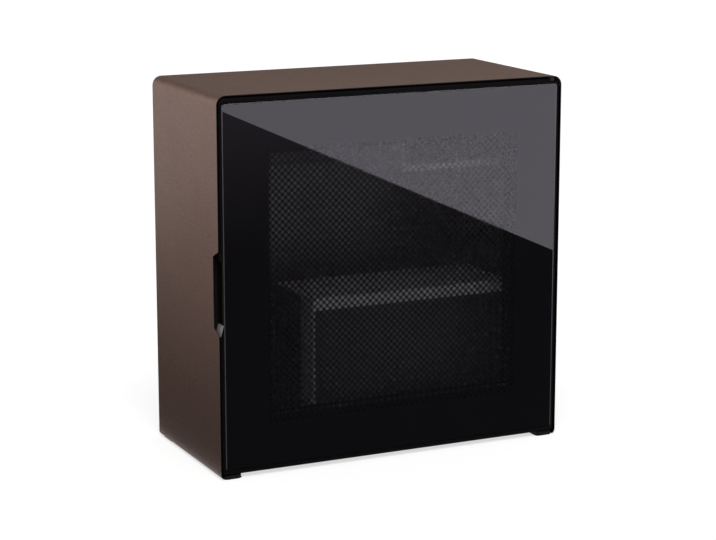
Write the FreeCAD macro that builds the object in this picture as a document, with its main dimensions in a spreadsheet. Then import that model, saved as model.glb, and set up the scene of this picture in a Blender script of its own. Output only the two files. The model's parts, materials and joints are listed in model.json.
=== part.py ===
# A slim glass-door minibar fridge with a sheet metal casing, an insulated cabinet and a rear machine space.
# Frame: +X to the right seen from the front, +Y into the fridge, +Z up.
# The origin is on the standing surface, below the middle of the casing. Millimetres.
import FreeCAD, Part
import Sketcher
import math
import os

from FreeCAD import Placement, Rotation, Vector

doc = FreeCAD.newDocument("minibar_fridge")
sheet = doc.addObject("Spreadsheet::Sheet", "sizes")


class Size:
    """A length that knows its number and the spreadsheet formula that gives it."""

    def __init__(self, formula, number):
        self.formula = formula
        self.number = number

    def __add__(self, other):
        return Size(f"({self.formula} + {formula_of(other)})", self.number + number_of(other))

    def __sub__(self, other):
        return Size(f"({self.formula} - {formula_of(other)})", self.number - number_of(other))

    def __mul__(self, count):
        return Size(f"({self.formula} * {formula_of(count)})", self.number * number_of(count))

    def __truediv__(self, count):
        return Size(f"({self.formula} / {formula_of(count)})", self.number / number_of(count))

    def __neg__(self):
        return Size(f"(-{self.formula})", -self.number)


def formula_of(item):
    return item.formula if isinstance(item, Size) else repr(item)


def number_of(item):
    return item.number if isinstance(item, Size) else item


rows = []


def driving(alias):
    """Writes one main size to the sheet and returns it."""
    number = main_sizes[alias]
    rows.append(alias)
    row = len(rows)
    sheet.set(f"A{row}", alias)
    sheet.set(f"B{row}", str(number))
    sheet.setAlias(f"B{row}", alias)
    return Size(f"sizes.{alias}", number)


none = Size("0", 0)

main_sizes = {
    # Whole object
    "width": 560,
    "depth": 258,
    "height": 562,
    "overrun": 1,
    "seat_gap": 0.3,
    "running_gap": 0.05,
    "pick_reach": 0.1,
    # Casing of bent sheet, closed at the top and sides and turned under at the bottom
    "casing_wall": 1.2,
    "casing_top_radius": 14,
    "casing_foot_radius": 7,
    "turned_edge": 33,
    "pad_thickness": 1.2,
    # Finger notch in the left side of the casing, over the grip in the door's edge
    "notch_middle": 277,
    "notch_depth": 21,
    "notch_front_half": 62.5,
    "notch_back_half": 52.5,
    "cup_wall": 1.5,
    # Door
    "door_thickness": 22,
    "door_side_gap": 1.5,
    "door_top_gap": 2,
    "door_bottom": 6.6,
    "door_rounding": 4,
    "door_chamfer": 5.5,
    "glass_thickness": 4,
    "glass_border": 4.8,
    "glass_bottom_border": 7,
    "glass_top_border": 8,
    "glass_corner": 5,
    "window_margin": 66.5,
    "air_space": 12,
    "spacer_width": 8,
    "trim_width": 22,
    "trim_thickness": 2,
    "trim_lap": 10,
    "door_pocket_width": 20,
    "door_pocket_slope": 16,
    # Gasket between the door and the cabinet
    "gasket_space": 4,
    "gasket_width": 12,
    "gasket_lap": 6,
    "gasket_corner": 14,
    # Hinge on the right
    "pivot_side": 15,
    "pivot_back": 8,
    "pin_radius": 2,
    "pin_length": 16,
    "bush_radius": 3.2,
    "bush_length": 15,
    "hinge_plate_width": 24,
    "hinge_top_height": 6,
    "hinge_reach": 6.4,
    "hinge_leg_height": 28,
    "hinge_leg_thickness": 2,
    "hinge_clear": 0.4,
    "hinge_set_back": 0.6,
    "screw_head_radius": 2.5,
    "screw_head_height": 1.6,
    "screw_inset": 6,
    # Cabinet front strip, liner and insulation
    "strip_thickness": 3,
    "cabinet_gap": 0.2,
    "cavity_side_wall": 52,
    "cavity_floor": 57,
    "cavity_top_wall": 46,
    "cavity_rear_wall": 53,
    "cavity_corner": 12,
    "liner_wall": 2,
    "hump_length": 334,
    "hump_depth": 101,
    "hump_height": 181,
    "base_thickness": 1.2,
    "back_panel_inset": 25,
    "back_panel_thickness": 1.2,
    "machine_left_foam": 26,
    "machine_right_wall": 28,
    "machine_front_foam": 25,
    "machine_top_foam": 28,
    # Feet
    "foot_inset": 5,
    "foot_width": 28,
    "foot_length": 44,
    "foot_lip": 2,
    "foot_lip_top": 5.8,
    "foot_rounding": 0.8,
    # Shelves
    "shelf_thickness": 3,
    "shelf_lip": 18,
    "shelf_side_gap": 3,
    "shelf_back_gap": 12,
    "upper_shelf_drop": 83,
    "upper_shelf_gap": 44,
    "upper_shelf_lip": 10,
    "ledge_width": 6,
    "ledge_height": 5,
    # Evaporator plate on the rear wall of the cavity
    "evaporator_left_gap": 48,
    "evaporator_right_gap": 38,
    "evaporator_low_gap": 24,
    "evaporator_thickness": 1.6,
    "evaporator_stand": 6,
    "channel_height": 1.2,
    "channel_width": 9,
    "boss_radius": 6,
    "boss_inset": 14,
    # Thermostat and lamp on the ceiling of the cavity
    "thermostat_side_gap": 32,
    "thermostat_width": 74,
    "thermostat_depth": 62,
    "thermostat_height": 28,
    "thermostat_set_back": 31,
    "thermostat_rounding": 3,
    "dial_radius": 11,
    "dial_length": 9,
    "dial_grip": 1.2,
    "dial_shaft_radius": 3,
    "dial_shaft_length": 14,
    "lamp_gap": 24,
    "lamp_width": 96,
    "lamp_depth": 34,
    "lamp_set_back": 6,
    "lamp_base_height": 7,
    "lamp_lens_height": 7,
    "lamp_lens_inset": 4,
    # Condenser in the rear recess
    "condenser_side_gap": 58,
    "condenser_low_gap": 26,
    "condenser_top_gap": 54,
    "condenser_tube_radius": 2.4,
    "condenser_back": 12.5,
    "condenser_end_bend": 8,
    "wire_radius": 0.8,
    "wire_margin": 32,
    "wire_overhang": 8,
    "clip_width": 12,
    "clip_height": 10,
    "clip_inset": 22,
    # Machine space
    "compressor_radius": 54,
    "compressor_from_side": 146,
    "compressor_from_panel": 41,
    "compressor_bottom": 26,
    "compressor_belt": 78,
    "compressor_top": 140,
    "compressor_dome": 34,
    "belt_width": 3,
    "belt_height": 5,
    "bracket_length": 150,
    "bracket_depth": 84,
    "bracket_thickness": 3,
    "mount_inset": 12,
    "mount_radius": 9,
    "relay_width": 30,
    "relay_depth": 46,
    "relay_height": 52,
    "relay_bottom": 48,
    "pipe_radius": 3,
    "pipe_bend": 14,
    "drier_radius": 8,
    "drier_length": 74,
    "drier_from_side": 52,
    "drier_from_panel": 12,
    "drier_bottom": 96,
    "capillary_radius": 1.2,
    "capillary_offset": 22,
    "suction_from_side": 60,
    "suction_bottom": 104,
    "discharge_bottom": 60,
    # Louvred cover of the machine space
    "cover_wall": 1.6,
    "cover_lap": 6,
    "cover_set_back": 2.5,
    "louvre_length": 84,
    "louvre_height": 5,
    "louvre_pitch_x": 104,
    "louvre_pitch_z": 14,
    "louvre_start_x": 24,
    "louvre_start_z": 40,
    "gland_radius": 9,
    "gland_body_radius": 6,
    "gland_bore_radius": 3.6,
    "gland_length": 14,
    "gland_from_side": 18,
    "gland_z": 24,
}

width = driving("width")
depth = driving("depth")
height = driving("height")
overrun = driving("overrun")
seat_gap = driving("seat_gap")
running_gap = driving("running_gap")
pick_reach = driving("pick_reach")
casing_wall = driving("casing_wall")
casing_top_radius = driving("casing_top_radius")
casing_foot_radius = driving("casing_foot_radius")
turned_edge = driving("turned_edge")
pad_thickness = driving("pad_thickness")
notch_middle = driving("notch_middle")
notch_depth = driving("notch_depth")
notch_front_half = driving("notch_front_half")
notch_back_half = driving("notch_back_half")
cup_wall = driving("cup_wall")
door_thickness = driving("door_thickness")
door_side_gap = driving("door_side_gap")
door_top_gap = driving("door_top_gap")
door_bottom = driving("door_bottom")
door_rounding = driving("door_rounding")
door_chamfer = driving("door_chamfer")
glass_thickness = driving("glass_thickness")
glass_border = driving("glass_border")
glass_bottom_border = driving("glass_bottom_border")
glass_top_border = driving("glass_top_border")
glass_corner = driving("glass_corner")
window_margin = driving("window_margin")
air_space = driving("air_space")
spacer_width = driving("spacer_width")
trim_width = driving("trim_width")
trim_thickness = driving("trim_thickness")
trim_lap = driving("trim_lap")
door_pocket_width = driving("door_pocket_width")
door_pocket_slope = driving("door_pocket_slope")
gasket_space = driving("gasket_space")
gasket_width = driving("gasket_width")
gasket_lap = driving("gasket_lap")
gasket_corner = driving("gasket_corner")
pivot_side = driving("pivot_side")
pivot_back = driving("pivot_back")
pin_radius = driving("pin_radius")
pin_length = driving("pin_length")
bush_radius = driving("bush_radius")
bush_length = driving("bush_length")
hinge_plate_width = driving("hinge_plate_width")
hinge_top_height = driving("hinge_top_height")
hinge_reach = driving("hinge_reach")
hinge_leg_height = driving("hinge_leg_height")
hinge_leg_thickness = driving("hinge_leg_thickness")
hinge_clear = driving("hinge_clear")
hinge_set_back = driving("hinge_set_back")
screw_head_radius = driving("screw_head_radius")
screw_head_height = driving("screw_head_height")
screw_inset = driving("screw_inset")
strip_thickness = driving("strip_thickness")
cabinet_gap = driving("cabinet_gap")
cavity_side_wall = driving("cavity_side_wall")
cavity_floor = driving("cavity_floor")
cavity_top_wall = driving("cavity_top_wall")
cavity_rear_wall = driving("cavity_rear_wall")
cavity_corner = driving("cavity_corner")
liner_wall = driving("liner_wall")
hump_length = driving("hump_length")
hump_depth = driving("hump_depth")
hump_height = driving("hump_height")
base_thickness = driving("base_thickness")
back_panel_inset = driving("back_panel_inset")
back_panel_thickness = driving("back_panel_thickness")
machine_left_foam = driving("machine_left_foam")
machine_right_wall = driving("machine_right_wall")
machine_front_foam = driving("machine_front_foam")
machine_top_foam = driving("machine_top_foam")
foot_inset = driving("foot_inset")
foot_width = driving("foot_width")
foot_length = driving("foot_length")
foot_lip = driving("foot_lip")
foot_lip_top = driving("foot_lip_top")
foot_rounding = driving("foot_rounding")
shelf_thickness = driving("shelf_thickness")
shelf_lip = driving("shelf_lip")
shelf_side_gap = driving("shelf_side_gap")
shelf_back_gap = driving("shelf_back_gap")
upper_shelf_drop = driving("upper_shelf_drop")
upper_shelf_gap = driving("upper_shelf_gap")
upper_shelf_lip = driving("upper_shelf_lip")
ledge_width = driving("ledge_width")
ledge_height = driving("ledge_height")
evaporator_left_gap = driving("evaporator_left_gap")
evaporator_right_gap = driving("evaporator_right_gap")
evaporator_low_gap = driving("evaporator_low_gap")
evaporator_thickness = driving("evaporator_thickness")
evaporator_stand = driving("evaporator_stand")
channel_height = driving("channel_height")
channel_width = driving("channel_width")
boss_radius = driving("boss_radius")
boss_inset = driving("boss_inset")
thermostat_side_gap = driving("thermostat_side_gap")
thermostat_width = driving("thermostat_width")
thermostat_depth = driving("thermostat_depth")
thermostat_height = driving("thermostat_height")
thermostat_set_back = driving("thermostat_set_back")
thermostat_rounding = driving("thermostat_rounding")
dial_radius = driving("dial_radius")
dial_length = driving("dial_length")
dial_grip = driving("dial_grip")
dial_shaft_radius = driving("dial_shaft_radius")
dial_shaft_length = driving("dial_shaft_length")
lamp_gap = driving("lamp_gap")
lamp_width = driving("lamp_width")
lamp_depth = driving("lamp_depth")
lamp_set_back = driving("lamp_set_back")
lamp_base_height = driving("lamp_base_height")
lamp_lens_height = driving("lamp_lens_height")
lamp_lens_inset = driving("lamp_lens_inset")
condenser_side_gap = driving("condenser_side_gap")
condenser_low_gap = driving("condenser_low_gap")
condenser_top_gap = driving("condenser_top_gap")
condenser_tube_radius = driving("condenser_tube_radius")
condenser_back = driving("condenser_back")
condenser_end_bend = driving("condenser_end_bend")
wire_radius = driving("wire_radius")
wire_margin = driving("wire_margin")
wire_overhang = driving("wire_overhang")
clip_width = driving("clip_width")
clip_height = driving("clip_height")
clip_inset = driving("clip_inset")
compressor_radius = driving("compressor_radius")
compressor_from_side = driving("compressor_from_side")
compressor_from_panel = driving("compressor_from_panel")
compressor_bottom = driving("compressor_bottom")
compressor_belt = driving("compressor_belt")
compressor_top = driving("compressor_top")
compressor_dome = driving("compressor_dome")
belt_width = driving("belt_width")
belt_height = driving("belt_height")
bracket_length = driving("bracket_length")
bracket_depth = driving("bracket_depth")
bracket_thickness = driving("bracket_thickness")
mount_inset = driving("mount_inset")
mount_radius = driving("mount_radius")
relay_width = driving("relay_width")
relay_depth = driving("relay_depth")
relay_height = driving("relay_height")
relay_bottom = driving("relay_bottom")
pipe_radius = driving("pipe_radius")
pipe_bend = driving("pipe_bend")
drier_radius = driving("drier_radius")
drier_length = driving("drier_length")
drier_from_side = driving("drier_from_side")
drier_from_panel = driving("drier_from_panel")
drier_bottom = driving("drier_bottom")
capillary_radius = driving("capillary_radius")
capillary_offset = driving("capillary_offset")
suction_from_side = driving("suction_from_side")
suction_bottom = driving("suction_bottom")
discharge_bottom = driving("discharge_bottom")
cover_wall = driving("cover_wall")
cover_lap = driving("cover_lap")
cover_set_back = driving("cover_set_back")
louvre_length = driving("louvre_length")
louvre_height = driving("louvre_height")
louvre_pitch_x = driving("louvre_pitch_x")
louvre_pitch_z = driving("louvre_pitch_z")
louvre_start_x = driving("louvre_start_x")
louvre_start_z = driving("louvre_start_z")
gland_radius = driving("gland_radius")
gland_body_radius = driving("gland_body_radius")
gland_bore_radius = driving("gland_bore_radius")
gland_length = driving("gland_length")
gland_from_side = driving("gland_from_side")
gland_z = driving("gland_z")
channel_count = 6
dial_grip_count = 12
condenser_run_count = 9
wire_count = 20
volume_share = 0.02
chords_per_bend = 3
right_corners = 1
wire_sides = 6
tube_sides = 10
head_sides = 16
mount_sides = 20
groove_sides = 6
angle_reach = 0.01
compressor_sides = 36
shoulder_share = 0.35
shelf_front_share = 0.436
evaporator_top_share = 0.338
louvre_columns = 3
louvre_rows = 11

doc.recompute()

# Places worked out from the driving dimensions
left_side = -(width / 2)
right_side = width / 2
front_plane = -(depth / 2)
rear_plane = depth / 2
inner_left = left_side + casing_wall
inner_right = right_side - casing_wall
inner_top = height - casing_wall
inner_top_radius = casing_top_radius - casing_wall
flange_top = pad_thickness + casing_wall
door_left = inner_left + door_side_gap
door_right = inner_right - door_side_gap
door_top = inner_top - door_top_gap
door_back = front_plane + door_thickness
door_top_radius = inner_top_radius - door_top_gap
glass_left = door_left + glass_border
glass_right = door_right - glass_border
glass_low = door_bottom + glass_bottom_border
glass_high = door_top - glass_top_border
glass_back = front_plane + glass_thickness
window_left = glass_left + window_margin
window_right = glass_right - window_margin
window_low = glass_low + window_margin
window_high = glass_high - window_margin
cabinet_front = door_back + gasket_space
cabinet_left = inner_left + cabinet_gap
cabinet_right = inner_right - cabinet_gap
cabinet_top = inner_top - cabinet_gap
cabinet_top_radius = inner_top_radius - cabinet_gap
base_top = door_bottom + base_thickness
panel_front = rear_plane - back_panel_inset
panel_back = panel_front + back_panel_thickness
cavity_left = left_side + cavity_side_wall
cavity_right = right_side - cavity_side_wall
cavity_back = rear_plane - cavity_rear_wall
cavity_ceiling = height - cavity_top_wall
liner_left = cavity_left - liner_wall
liner_right = cavity_right + liner_wall
liner_low = cavity_floor - liner_wall
liner_high = cavity_ceiling + liner_wall
liner_back = cavity_back + liner_wall
hump_left = cavity_right - hump_length
hump_front = cavity_back - hump_depth
hump_top = cavity_floor + hump_height
shelf_front = cabinet_front + (hump_front - cabinet_front) * shelf_front_share
machine_left = hump_left + machine_left_foam
machine_right = right_side - machine_right_wall
machine_front = hump_front + machine_front_foam
machine_top = hump_top - machine_top_foam
thermostat_left = cavity_left + thermostat_side_gap
thermostat_front = cabinet_front + thermostat_set_back
lamp_left = thermostat_left + thermostat_width + lamp_gap
lamp_front = thermostat_front + lamp_set_back
upper_shelf_height = cavity_ceiling - upper_shelf_drop
upper_shelf_left = lamp_left + lamp_width + upper_shelf_gap
evaporator_left = cavity_left + evaporator_left_gap
evaporator_right = cavity_right - evaporator_right_gap
evaporator_bottom = hump_top + evaporator_low_gap
evaporator_top = cavity_ceiling - (cavity_ceiling - hump_top) * evaporator_top_share
condenser_half_width = right_side - condenser_side_gap
condenser_bottom = machine_top + condenser_low_gap
condenser_top = height - condenser_top_gap
condenser_pitch = (condenser_top - condenser_bottom) / (condenser_run_count - 1)
wire_pitch = (condenser_half_width - wire_margin) * 2 / (wire_count - 1)
compressor_middle_x = machine_left + compressor_from_side
compressor_middle_y = panel_front - compressor_from_panel
drier_x = machine_right - drier_from_side
drier_y = panel_front - drier_from_panel
suction_x = machine_left + suction_from_side
gland_x = machine_left + gland_from_side
pivot_x = right_side - pivot_side
pivot_y = front_plane + pivot_back
grip_half = notch_front_half - door_pocket_slope
grip_end = door_left + door_pocket_width
hinge_low_top = door_bottom - hinge_clear
hinge_high_bottom = cabinet_top - hinge_top_height
pieces = []


def bind(item, target, size):
    """Ties one property to the spreadsheet formula of a size."""
    if isinstance(size, Size):
        item.setExpression(target, size.formula)


def move(item, x, y, z):
    for axis, size in zip("xyz", (x, y, z)):
        bind(item, f"Placement.Base.{axis}", size)


def piece(item, label):
    """Names a finished sub-part: its label is its node name."""
    item.Label = label
    pieces.append(item)
    return item


def box(name, x, y, z):
    """A block between the low and high places along each axis."""
    item = doc.addObject("Part::Box", name)
    for target, (low, high) in zip(("Length", "Width", "Height"), (x, y, z)):
        bind(item, target, high - low)
    move(item, x[0], y[0], z[0])
    return item


turns = {
    "x": Rotation(Vector(0, 1, 0), 90),
    "y": Rotation(Vector(1, 0, 0), -90),
    "z": Rotation(),
}


def rod(name, axis, start, length, radius):
    """A cylinder from a start point along +X, +Y or +Z."""
    item = doc.addObject("Part::Cylinder", name)
    item.Placement = Placement(Vector(), turns[axis])
    bind(item, "Height", length)
    bind(item, "Radius", radius)
    move(item, *start)
    return item


def prism(name, axis, start, length, radius, sides):
    """A small round form drawn with flat sides, from a start point along +X, +Y or +Z."""
    item = doc.addObject("Part::Prism", name)
    item.Placement = Placement(Vector(), turns[axis])
    item.Polygon = sides
    bind(item, "Circumradius", radius)
    bind(item, "Height", length)
    move(item, *start)
    return item


def screw_head(name, start):
    """A low screw head that faces along Y."""
    return prism(name, "y", start, screw_head_height, screw_head_radius, head_sides)


def cut(name, base, tool):
    item = doc.addObject("Part::Cut", name)
    item.Base = base
    item.Tool = tool
    return item


def join(name, items):
    item = doc.addObject("Part::MultiFuse", name)
    item.Shapes = items
    item.Refine = True
    return item


def group(name, items):
    """Separate solids of one kind that share a node."""
    item = doc.addObject("Part::Compound", name)
    item.Links = items
    return item


def body(name):
    return doc.addObject("PartDesign::Body", name)


def outline(owner, name, plane, points, level):
    """A closed sketch of straight lines on one of the body's origin planes, moved to a level."""
    sketch = owner.newObject("Sketcher::SketchObject", name)
    origin_plane = [item for item in owner.Origin.OriginFeatures if item.Role == plane][0]
    sketch.AttachmentSupport = [(origin_plane, "")]
    sketch.MapMode = "FlatFace"
    bind(sketch, "AttachmentOffset.Base.z", level)
    corners = [Vector(across.number, up.number, 0) for across, up in points]
    for number, corner in enumerate(corners):
        sketch.addGeometry(Part.LineSegment(corner, corners[(number + 1) % len(corners)]))
    for number in range(len(corners)):
        following = (number + 1) % len(corners)
        sketch.addConstraint(Sketcher.Constraint("Coincident", number, 2, following, 1))
    for number, (across, up) in enumerate(points):
        for kind, size in (("DistanceX", across), ("DistanceY", up)):
            index = sketch.addConstraint(Sketcher.Constraint(kind, -1, 1, number, 1, size.number))
            sketch.setExpression(f"Constraints[{index}]", size.formula)
    return sketch


def rectangle(low, high):
    return [(low[0], low[1]), (high[0], low[1]), (high[0], high[1]), (low[0], high[1])]


def pad(owner, name, plane, points, low, high):
    """Adds material between two levels of the plane's axis."""
    start = -high if plane == "XZ_Plane" else low
    sketch = outline(owner, name + "_outline", plane, points, start)
    feature = owner.newObject("PartDesign::Pad", name)
    feature.Profile = sketch
    bind(feature, "Length", high - low)
    doc.recompute()
    return feature


def pocket(owner, name, plane, points, low, high):
    """Removes material between two levels of the plane's axis."""
    before = owner.Shape.Volume
    start = -low if plane == "XZ_Plane" else high
    sketch = outline(owner, name + "_outline", plane, points, start)
    feature = owner.newObject("PartDesign::Pocket", name)
    feature.Profile = sketch
    bind(feature, "Length", high - low)
    doc.recompute()
    if owner.Shape.Volume >= before:
        raise RuntimeError(f"{name} removes nothing")
    return feature


def straight_edges(shape, axis, keep):
    """Names of the straight edges along an axis whose middles pass the test."""
    names = []
    for number, edge in enumerate(shape.Edges, 1):
        along = isinstance(edge.Curve, Part.Line) and edge.Curve.Direction.isParallel(axis, angle_reach)
        if along and keep(edge.CenterOfMass):
            names.append(f"Edge{number}")
    return names


def dress(owner, name, kind, edges, size):
    """Rounds or bevels edges of the body's last feature."""
    if not edges:
        raise RuntimeError(f"{name} finds no edges")
    previous = owner.Tip
    feature = owner.newObject(kind, name)
    feature.Base = (previous, edges)
    bind(feature, "Radius" if kind.endswith("Fillet") else "Size", size)
    doc.recompute()
    return feature


along_x = Vector(1, 0, 0)
along_y = Vector(0, 1, 0)
along_z = Vector(0, 0, 1)


def rounded(owner, name, edges_axis, keep, radius):
    """Rounds the straight edges of the body's shape that pass the test."""
    return dress(owner, name, "PartDesign::Fillet", straight_edges(owner.Shape, edges_axis, keep), radius)


def near(first, size):
    """True where a place lies on a size, within the reach used to pick edges."""
    return abs(first - number_of(size)) < pick_reach.number


def upper(place):
    return place.z > number_of(height) / 2


def rounded_plate(name, x, z, y, top_radius):
    """An upright plate whose two upper corners follow the casing."""
    plate = body(name)
    pad(plate, name + "_plate", "XZ_Plane", rectangle((x[0], z[0]), (x[1], z[1])), y[0], y[1])
    rounded(plate, name + "_corners", along_y, upper, top_radius)
    return plate


def notch_half(y):
    """Half the height of the finger notch at a distance behind the front plane."""
    return notch_front_half - (notch_front_half - notch_back_half) * ((y - front_plane) / notch_depth)


def notch_outline(front, back, margin):
    """The finger notch seen from the side, wider at the front, grown all round by a margin."""
    return [
        (front, notch_middle - notch_half(front) - margin),
        (back, notch_middle - notch_half(back) - margin),
        (back, notch_middle + notch_half(back) + margin),
        (front, notch_middle + notch_half(front) + margin),
    ]


# Casing and base

def make_casing():
    casing = body("casing")
    outside = rectangle((left_side, pad_thickness), (right_side, height))
    pad(casing, "casing_outside", "XZ_Plane", outside, front_plane, rear_plane)
    inside = rectangle((inner_left, flange_top), (inner_right, inner_top))
    pocket(casing, "casing_inside", "XZ_Plane", inside, front_plane, rear_plane)
    for side, wall, top_radius in (
        ("inner", inner_right, inner_top_radius),
        ("outer", right_side, casing_top_radius),
    ):
        rounded(casing, f"casing_{side}_top", along_y,
                lambda p, x=wall: upper(p) and near(abs(p.x), x), top_radius)
        foot_radius = casing_foot_radius - (right_side - wall)
        rounded(casing, f"casing_{side}_foot", along_y,
                lambda p, x=wall: not upper(p) and near(abs(p.x), x), foot_radius)
    between = rectangle((left_side + turned_edge, front_plane), (right_side - turned_edge, rear_plane))
    pocket(casing, "casing_under_opening", "XY_Plane", between, none, flange_top)
    pocket(casing, "casing_finger_notch", "YZ_Plane",
           notch_outline(front_plane - overrun, front_plane + notch_depth, none),
           left_side - overrun, inner_left + overrun)
    step_inset = foot_inset - seat_gap
    for side, low_x, high_x in (
        ("left", left_side + step_inset, left_side + turned_edge + overrun),
        ("right", right_side - turned_edge - overrun, right_side - step_inset),
    ):
        step = rectangle((low_x, front_plane - overrun), (high_x, front_plane + foot_lip + seat_gap))
        pocket(casing, f"casing_{side}_foot_step", "XY_Plane", step, none, flange_top + overrun)
    return piece(casing, "outer_casing")


def make_base_plate():
    plate = body("base")
    x = (inner_left + seat_gap, inner_right - seat_gap)
    pad(plate, "base_floor", "XY_Plane", rectangle((x[0], cabinet_front), (x[1], rear_plane)),
        door_bottom, base_top)
    leg = turned_edge - casing_foot_radius
    for side, outer in (("left", left_side + leg), ("right", right_side - leg - base_thickness)):
        strip = rectangle((outer, cabinet_front), (outer + base_thickness, rear_plane))
        pad(plate, f"base_{side}_leg", "XY_Plane", strip, flange_top, door_bottom)
    return piece(plate, "base_plate")


def make_feet():
    for side, start in (("left", left_side + foot_inset), ("right", right_side - foot_inset - foot_width)):
        front = body(f"front_foot_{side}_body")
        end = start + foot_width
        pad(front, f"front_foot_{side}_sole", "XY_Plane",
            rectangle((start, front_plane), (end, front_plane + foot_length)), none, pad_thickness)
        pad(front, f"front_foot_{side}_lip", "XY_Plane",
            rectangle((start, front_plane), (end, front_plane + foot_lip)), pad_thickness, foot_lip_top)
        rounded(front, f"front_foot_{side}_round", along_y,
                lambda p: near(p.z, none) or near(p.z, foot_lip_top), foot_rounding)
        piece(front, f"front_foot_{side}")
        rear = body(f"rear_foot_{side}_body")
        pad(rear, f"rear_foot_{side}_sole", "XY_Plane",
            rectangle((start, rear_plane - foot_length), (end, rear_plane - foot_inset)), none, pad_thickness)
        rounded(rear, f"rear_foot_{side}_round", along_z, lambda p: True, foot_inset)
        piece(rear, f"rear_foot_{side}")


def make_back_panel():
    panel = rounded_plate("panel", (cabinet_left, cabinet_right), (base_top, cabinet_top),
                          (panel_front, panel_back), cabinet_top_radius)
    window = rectangle((machine_left, base_top - overrun), (machine_right, machine_top))
    pocket(panel, "panel_machine_window", "XZ_Plane", window, panel_front - overrun, panel_back + overrun)
    return piece(panel, "back_panel")


# Insulated cabinet

def make_front_strip():
    strip = rounded_plate("strip", (cabinet_left, cabinet_right), (base_top, cabinet_top),
                          (cabinet_front, cabinet_front + strip_thickness), cabinet_top_radius)
    mouth = rectangle((liner_left, liner_low), (liner_right, liner_high))
    pocket(strip, "strip_mouth", "XZ_Plane", mouth, cabinet_front - overrun,
           cabinet_front + strip_thickness + overrun)
    return piece(strip, "front_strip")


def make_liner():
    liner = body("liner")
    outside = rectangle((liner_left, liner_low), (liner_right, liner_high))
    pad(liner, "liner_outside", "XZ_Plane", outside, cabinet_front, liner_back)
    inside = rectangle((cavity_left, cavity_floor), (cavity_right, cavity_ceiling))
    pocket(liner, "liner_cavity", "XZ_Plane", inside, cabinet_front - overrun, cavity_back)
    rounded(liner, "liner_cavity_corners", along_y, lambda p: near(abs(p.x), cavity_right), cavity_corner)
    hump = rectangle((hump_left, hump_front), (cavity_right + liner_wall / 2, cavity_back + liner_wall / 2))
    pad(liner, "liner_hump", "XY_Plane", hump, cavity_floor - liner_wall / 2, hump_top)
    hollow = rectangle((hump_left + liner_wall, hump_front + liner_wall), (liner_right, liner_back))
    pocket(liner, "liner_hump_hollow", "XY_Plane", hollow, liner_low - overrun, hump_top - liner_wall)
    shelf_back = cavity_back - shelf_back_gap
    for name, level, back in (("lower", hump_top, hump_front + liner_wall / 2),
                              ("upper", upper_shelf_height - shelf_thickness, shelf_back)):
        ledge = rectangle((cavity_right - ledge_width, shelf_front + shelf_thickness + shelf_side_gap),
                          (cavity_right + liner_wall / 2, back))
        pad(liner, f"liner_{name}_ledge", "XY_Plane", ledge, level - ledge_height, level)
    return piece(liner, "inner_liner")


def make_insulation():
    foam = rounded_plate("foam", (cabinet_left, cabinet_right), (base_top, cabinet_top),
                         (cabinet_front + strip_thickness, panel_front), cabinet_top_radius)
    space = rectangle((liner_left, liner_low), (liner_right, liner_high))
    pocket(foam, "foam_liner_space", "XZ_Plane", space, cabinet_front, liner_back)
    core = rectangle((hump_left + liner_wall, hump_front + liner_wall), (liner_right, liner_back))
    pad(foam, "foam_hump_core", "XY_Plane", core, liner_low, hump_top - liner_wall)
    machine = rectangle((machine_left, machine_front), (machine_right, panel_front + overrun))
    pocket(foam, "foam_machine_space", "XY_Plane", machine, base_top - overrun, machine_top)
    return piece(foam, "insulation")


# Door

def make_door_frame():
    frame = body("frame")
    outside = rectangle((door_left, door_bottom), (door_right, door_top))
    pad(frame, "frame_block", "XZ_Plane", outside, front_plane, door_back)
    rounded(frame, "frame_top_corners", along_y, upper, door_top_radius)
    rounded(frame, "frame_foot_corners", along_y, lambda p: not upper(p), casing_foot_radius - casing_wall)
    rim = [f"Edge{number}" for number, edge in enumerate(frame.Shape.Edges, 1)
           if near(edge.BoundBox.YMin, front_plane) and near(edge.BoundBox.YMax, front_plane)]
    dress(frame, "frame_front_rounding", "PartDesign::Fillet", rim, door_rounding)
    window = rectangle((window_left, window_low), (window_right, window_high))
    pocket(frame, "frame_window", "XZ_Plane", window, front_plane - overrun, door_back + overrun)
    recess = rectangle((glass_left, glass_low), (glass_right, glass_high))
    pocket(frame, "frame_glass_recess", "XZ_Plane", recess, front_plane - overrun, glass_back)
    rounded(frame, "frame_recess_corners", along_y,
            lambda p: near(abs(p.x), glass_right) and p.y < number_of(glass_back), glass_corner)
    trim = rectangle((window_left - trim_lap, window_low - trim_lap),
                     (window_right + trim_lap, window_high + trim_lap))
    pocket(frame, "frame_trim_recess", "XZ_Plane", trim, door_back - trim_thickness, door_back + overrun)
    hinge_edge = straight_edges(frame.Shape, along_z,
                                lambda p: near(p.x, door_right) and near(p.y, door_back))
    dress(frame, "frame_hinge_bevel", "PartDesign::Chamfer", hinge_edge, door_chamfer)
    scoop = [
        (door_left, notch_middle - notch_front_half),
        (glass_left, notch_middle - grip_half),
        (glass_left, notch_middle + grip_half),
        (door_left, notch_middle + notch_front_half),
        (door_left - overrun, notch_middle + notch_front_half),
        (door_left - overrun, notch_middle - notch_front_half),
    ]
    pocket(frame, "frame_edge_scoop", "XZ_Plane", scoop, front_plane - overrun, door_back + overrun)
    grip = rectangle((door_left - overrun, notch_middle - grip_half), (grip_end, notch_middle + grip_half))
    pocket(frame, "frame_grip_space", "XZ_Plane", grip, glass_back, door_back + overrun)
    corner = rectangle((pivot_x - hinge_reach - hinge_clear, hinge_high_bottom - hinge_clear),
                       (right_side, height))
    pocket(frame, "frame_upper_hinge_corner", "XZ_Plane", corner, front_plane - overrun, door_back + overrun)
    for side, low, high in (
        ("upper", hinge_high_bottom - hinge_clear - bush_length, hinge_high_bottom),
        ("lower", door_bottom - overrun, door_bottom + bush_length),
    ):
        bore(frame, f"frame_{side}_bush_bore", low, high, bush_radius)
    return piece(frame, "door_frame")


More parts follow.
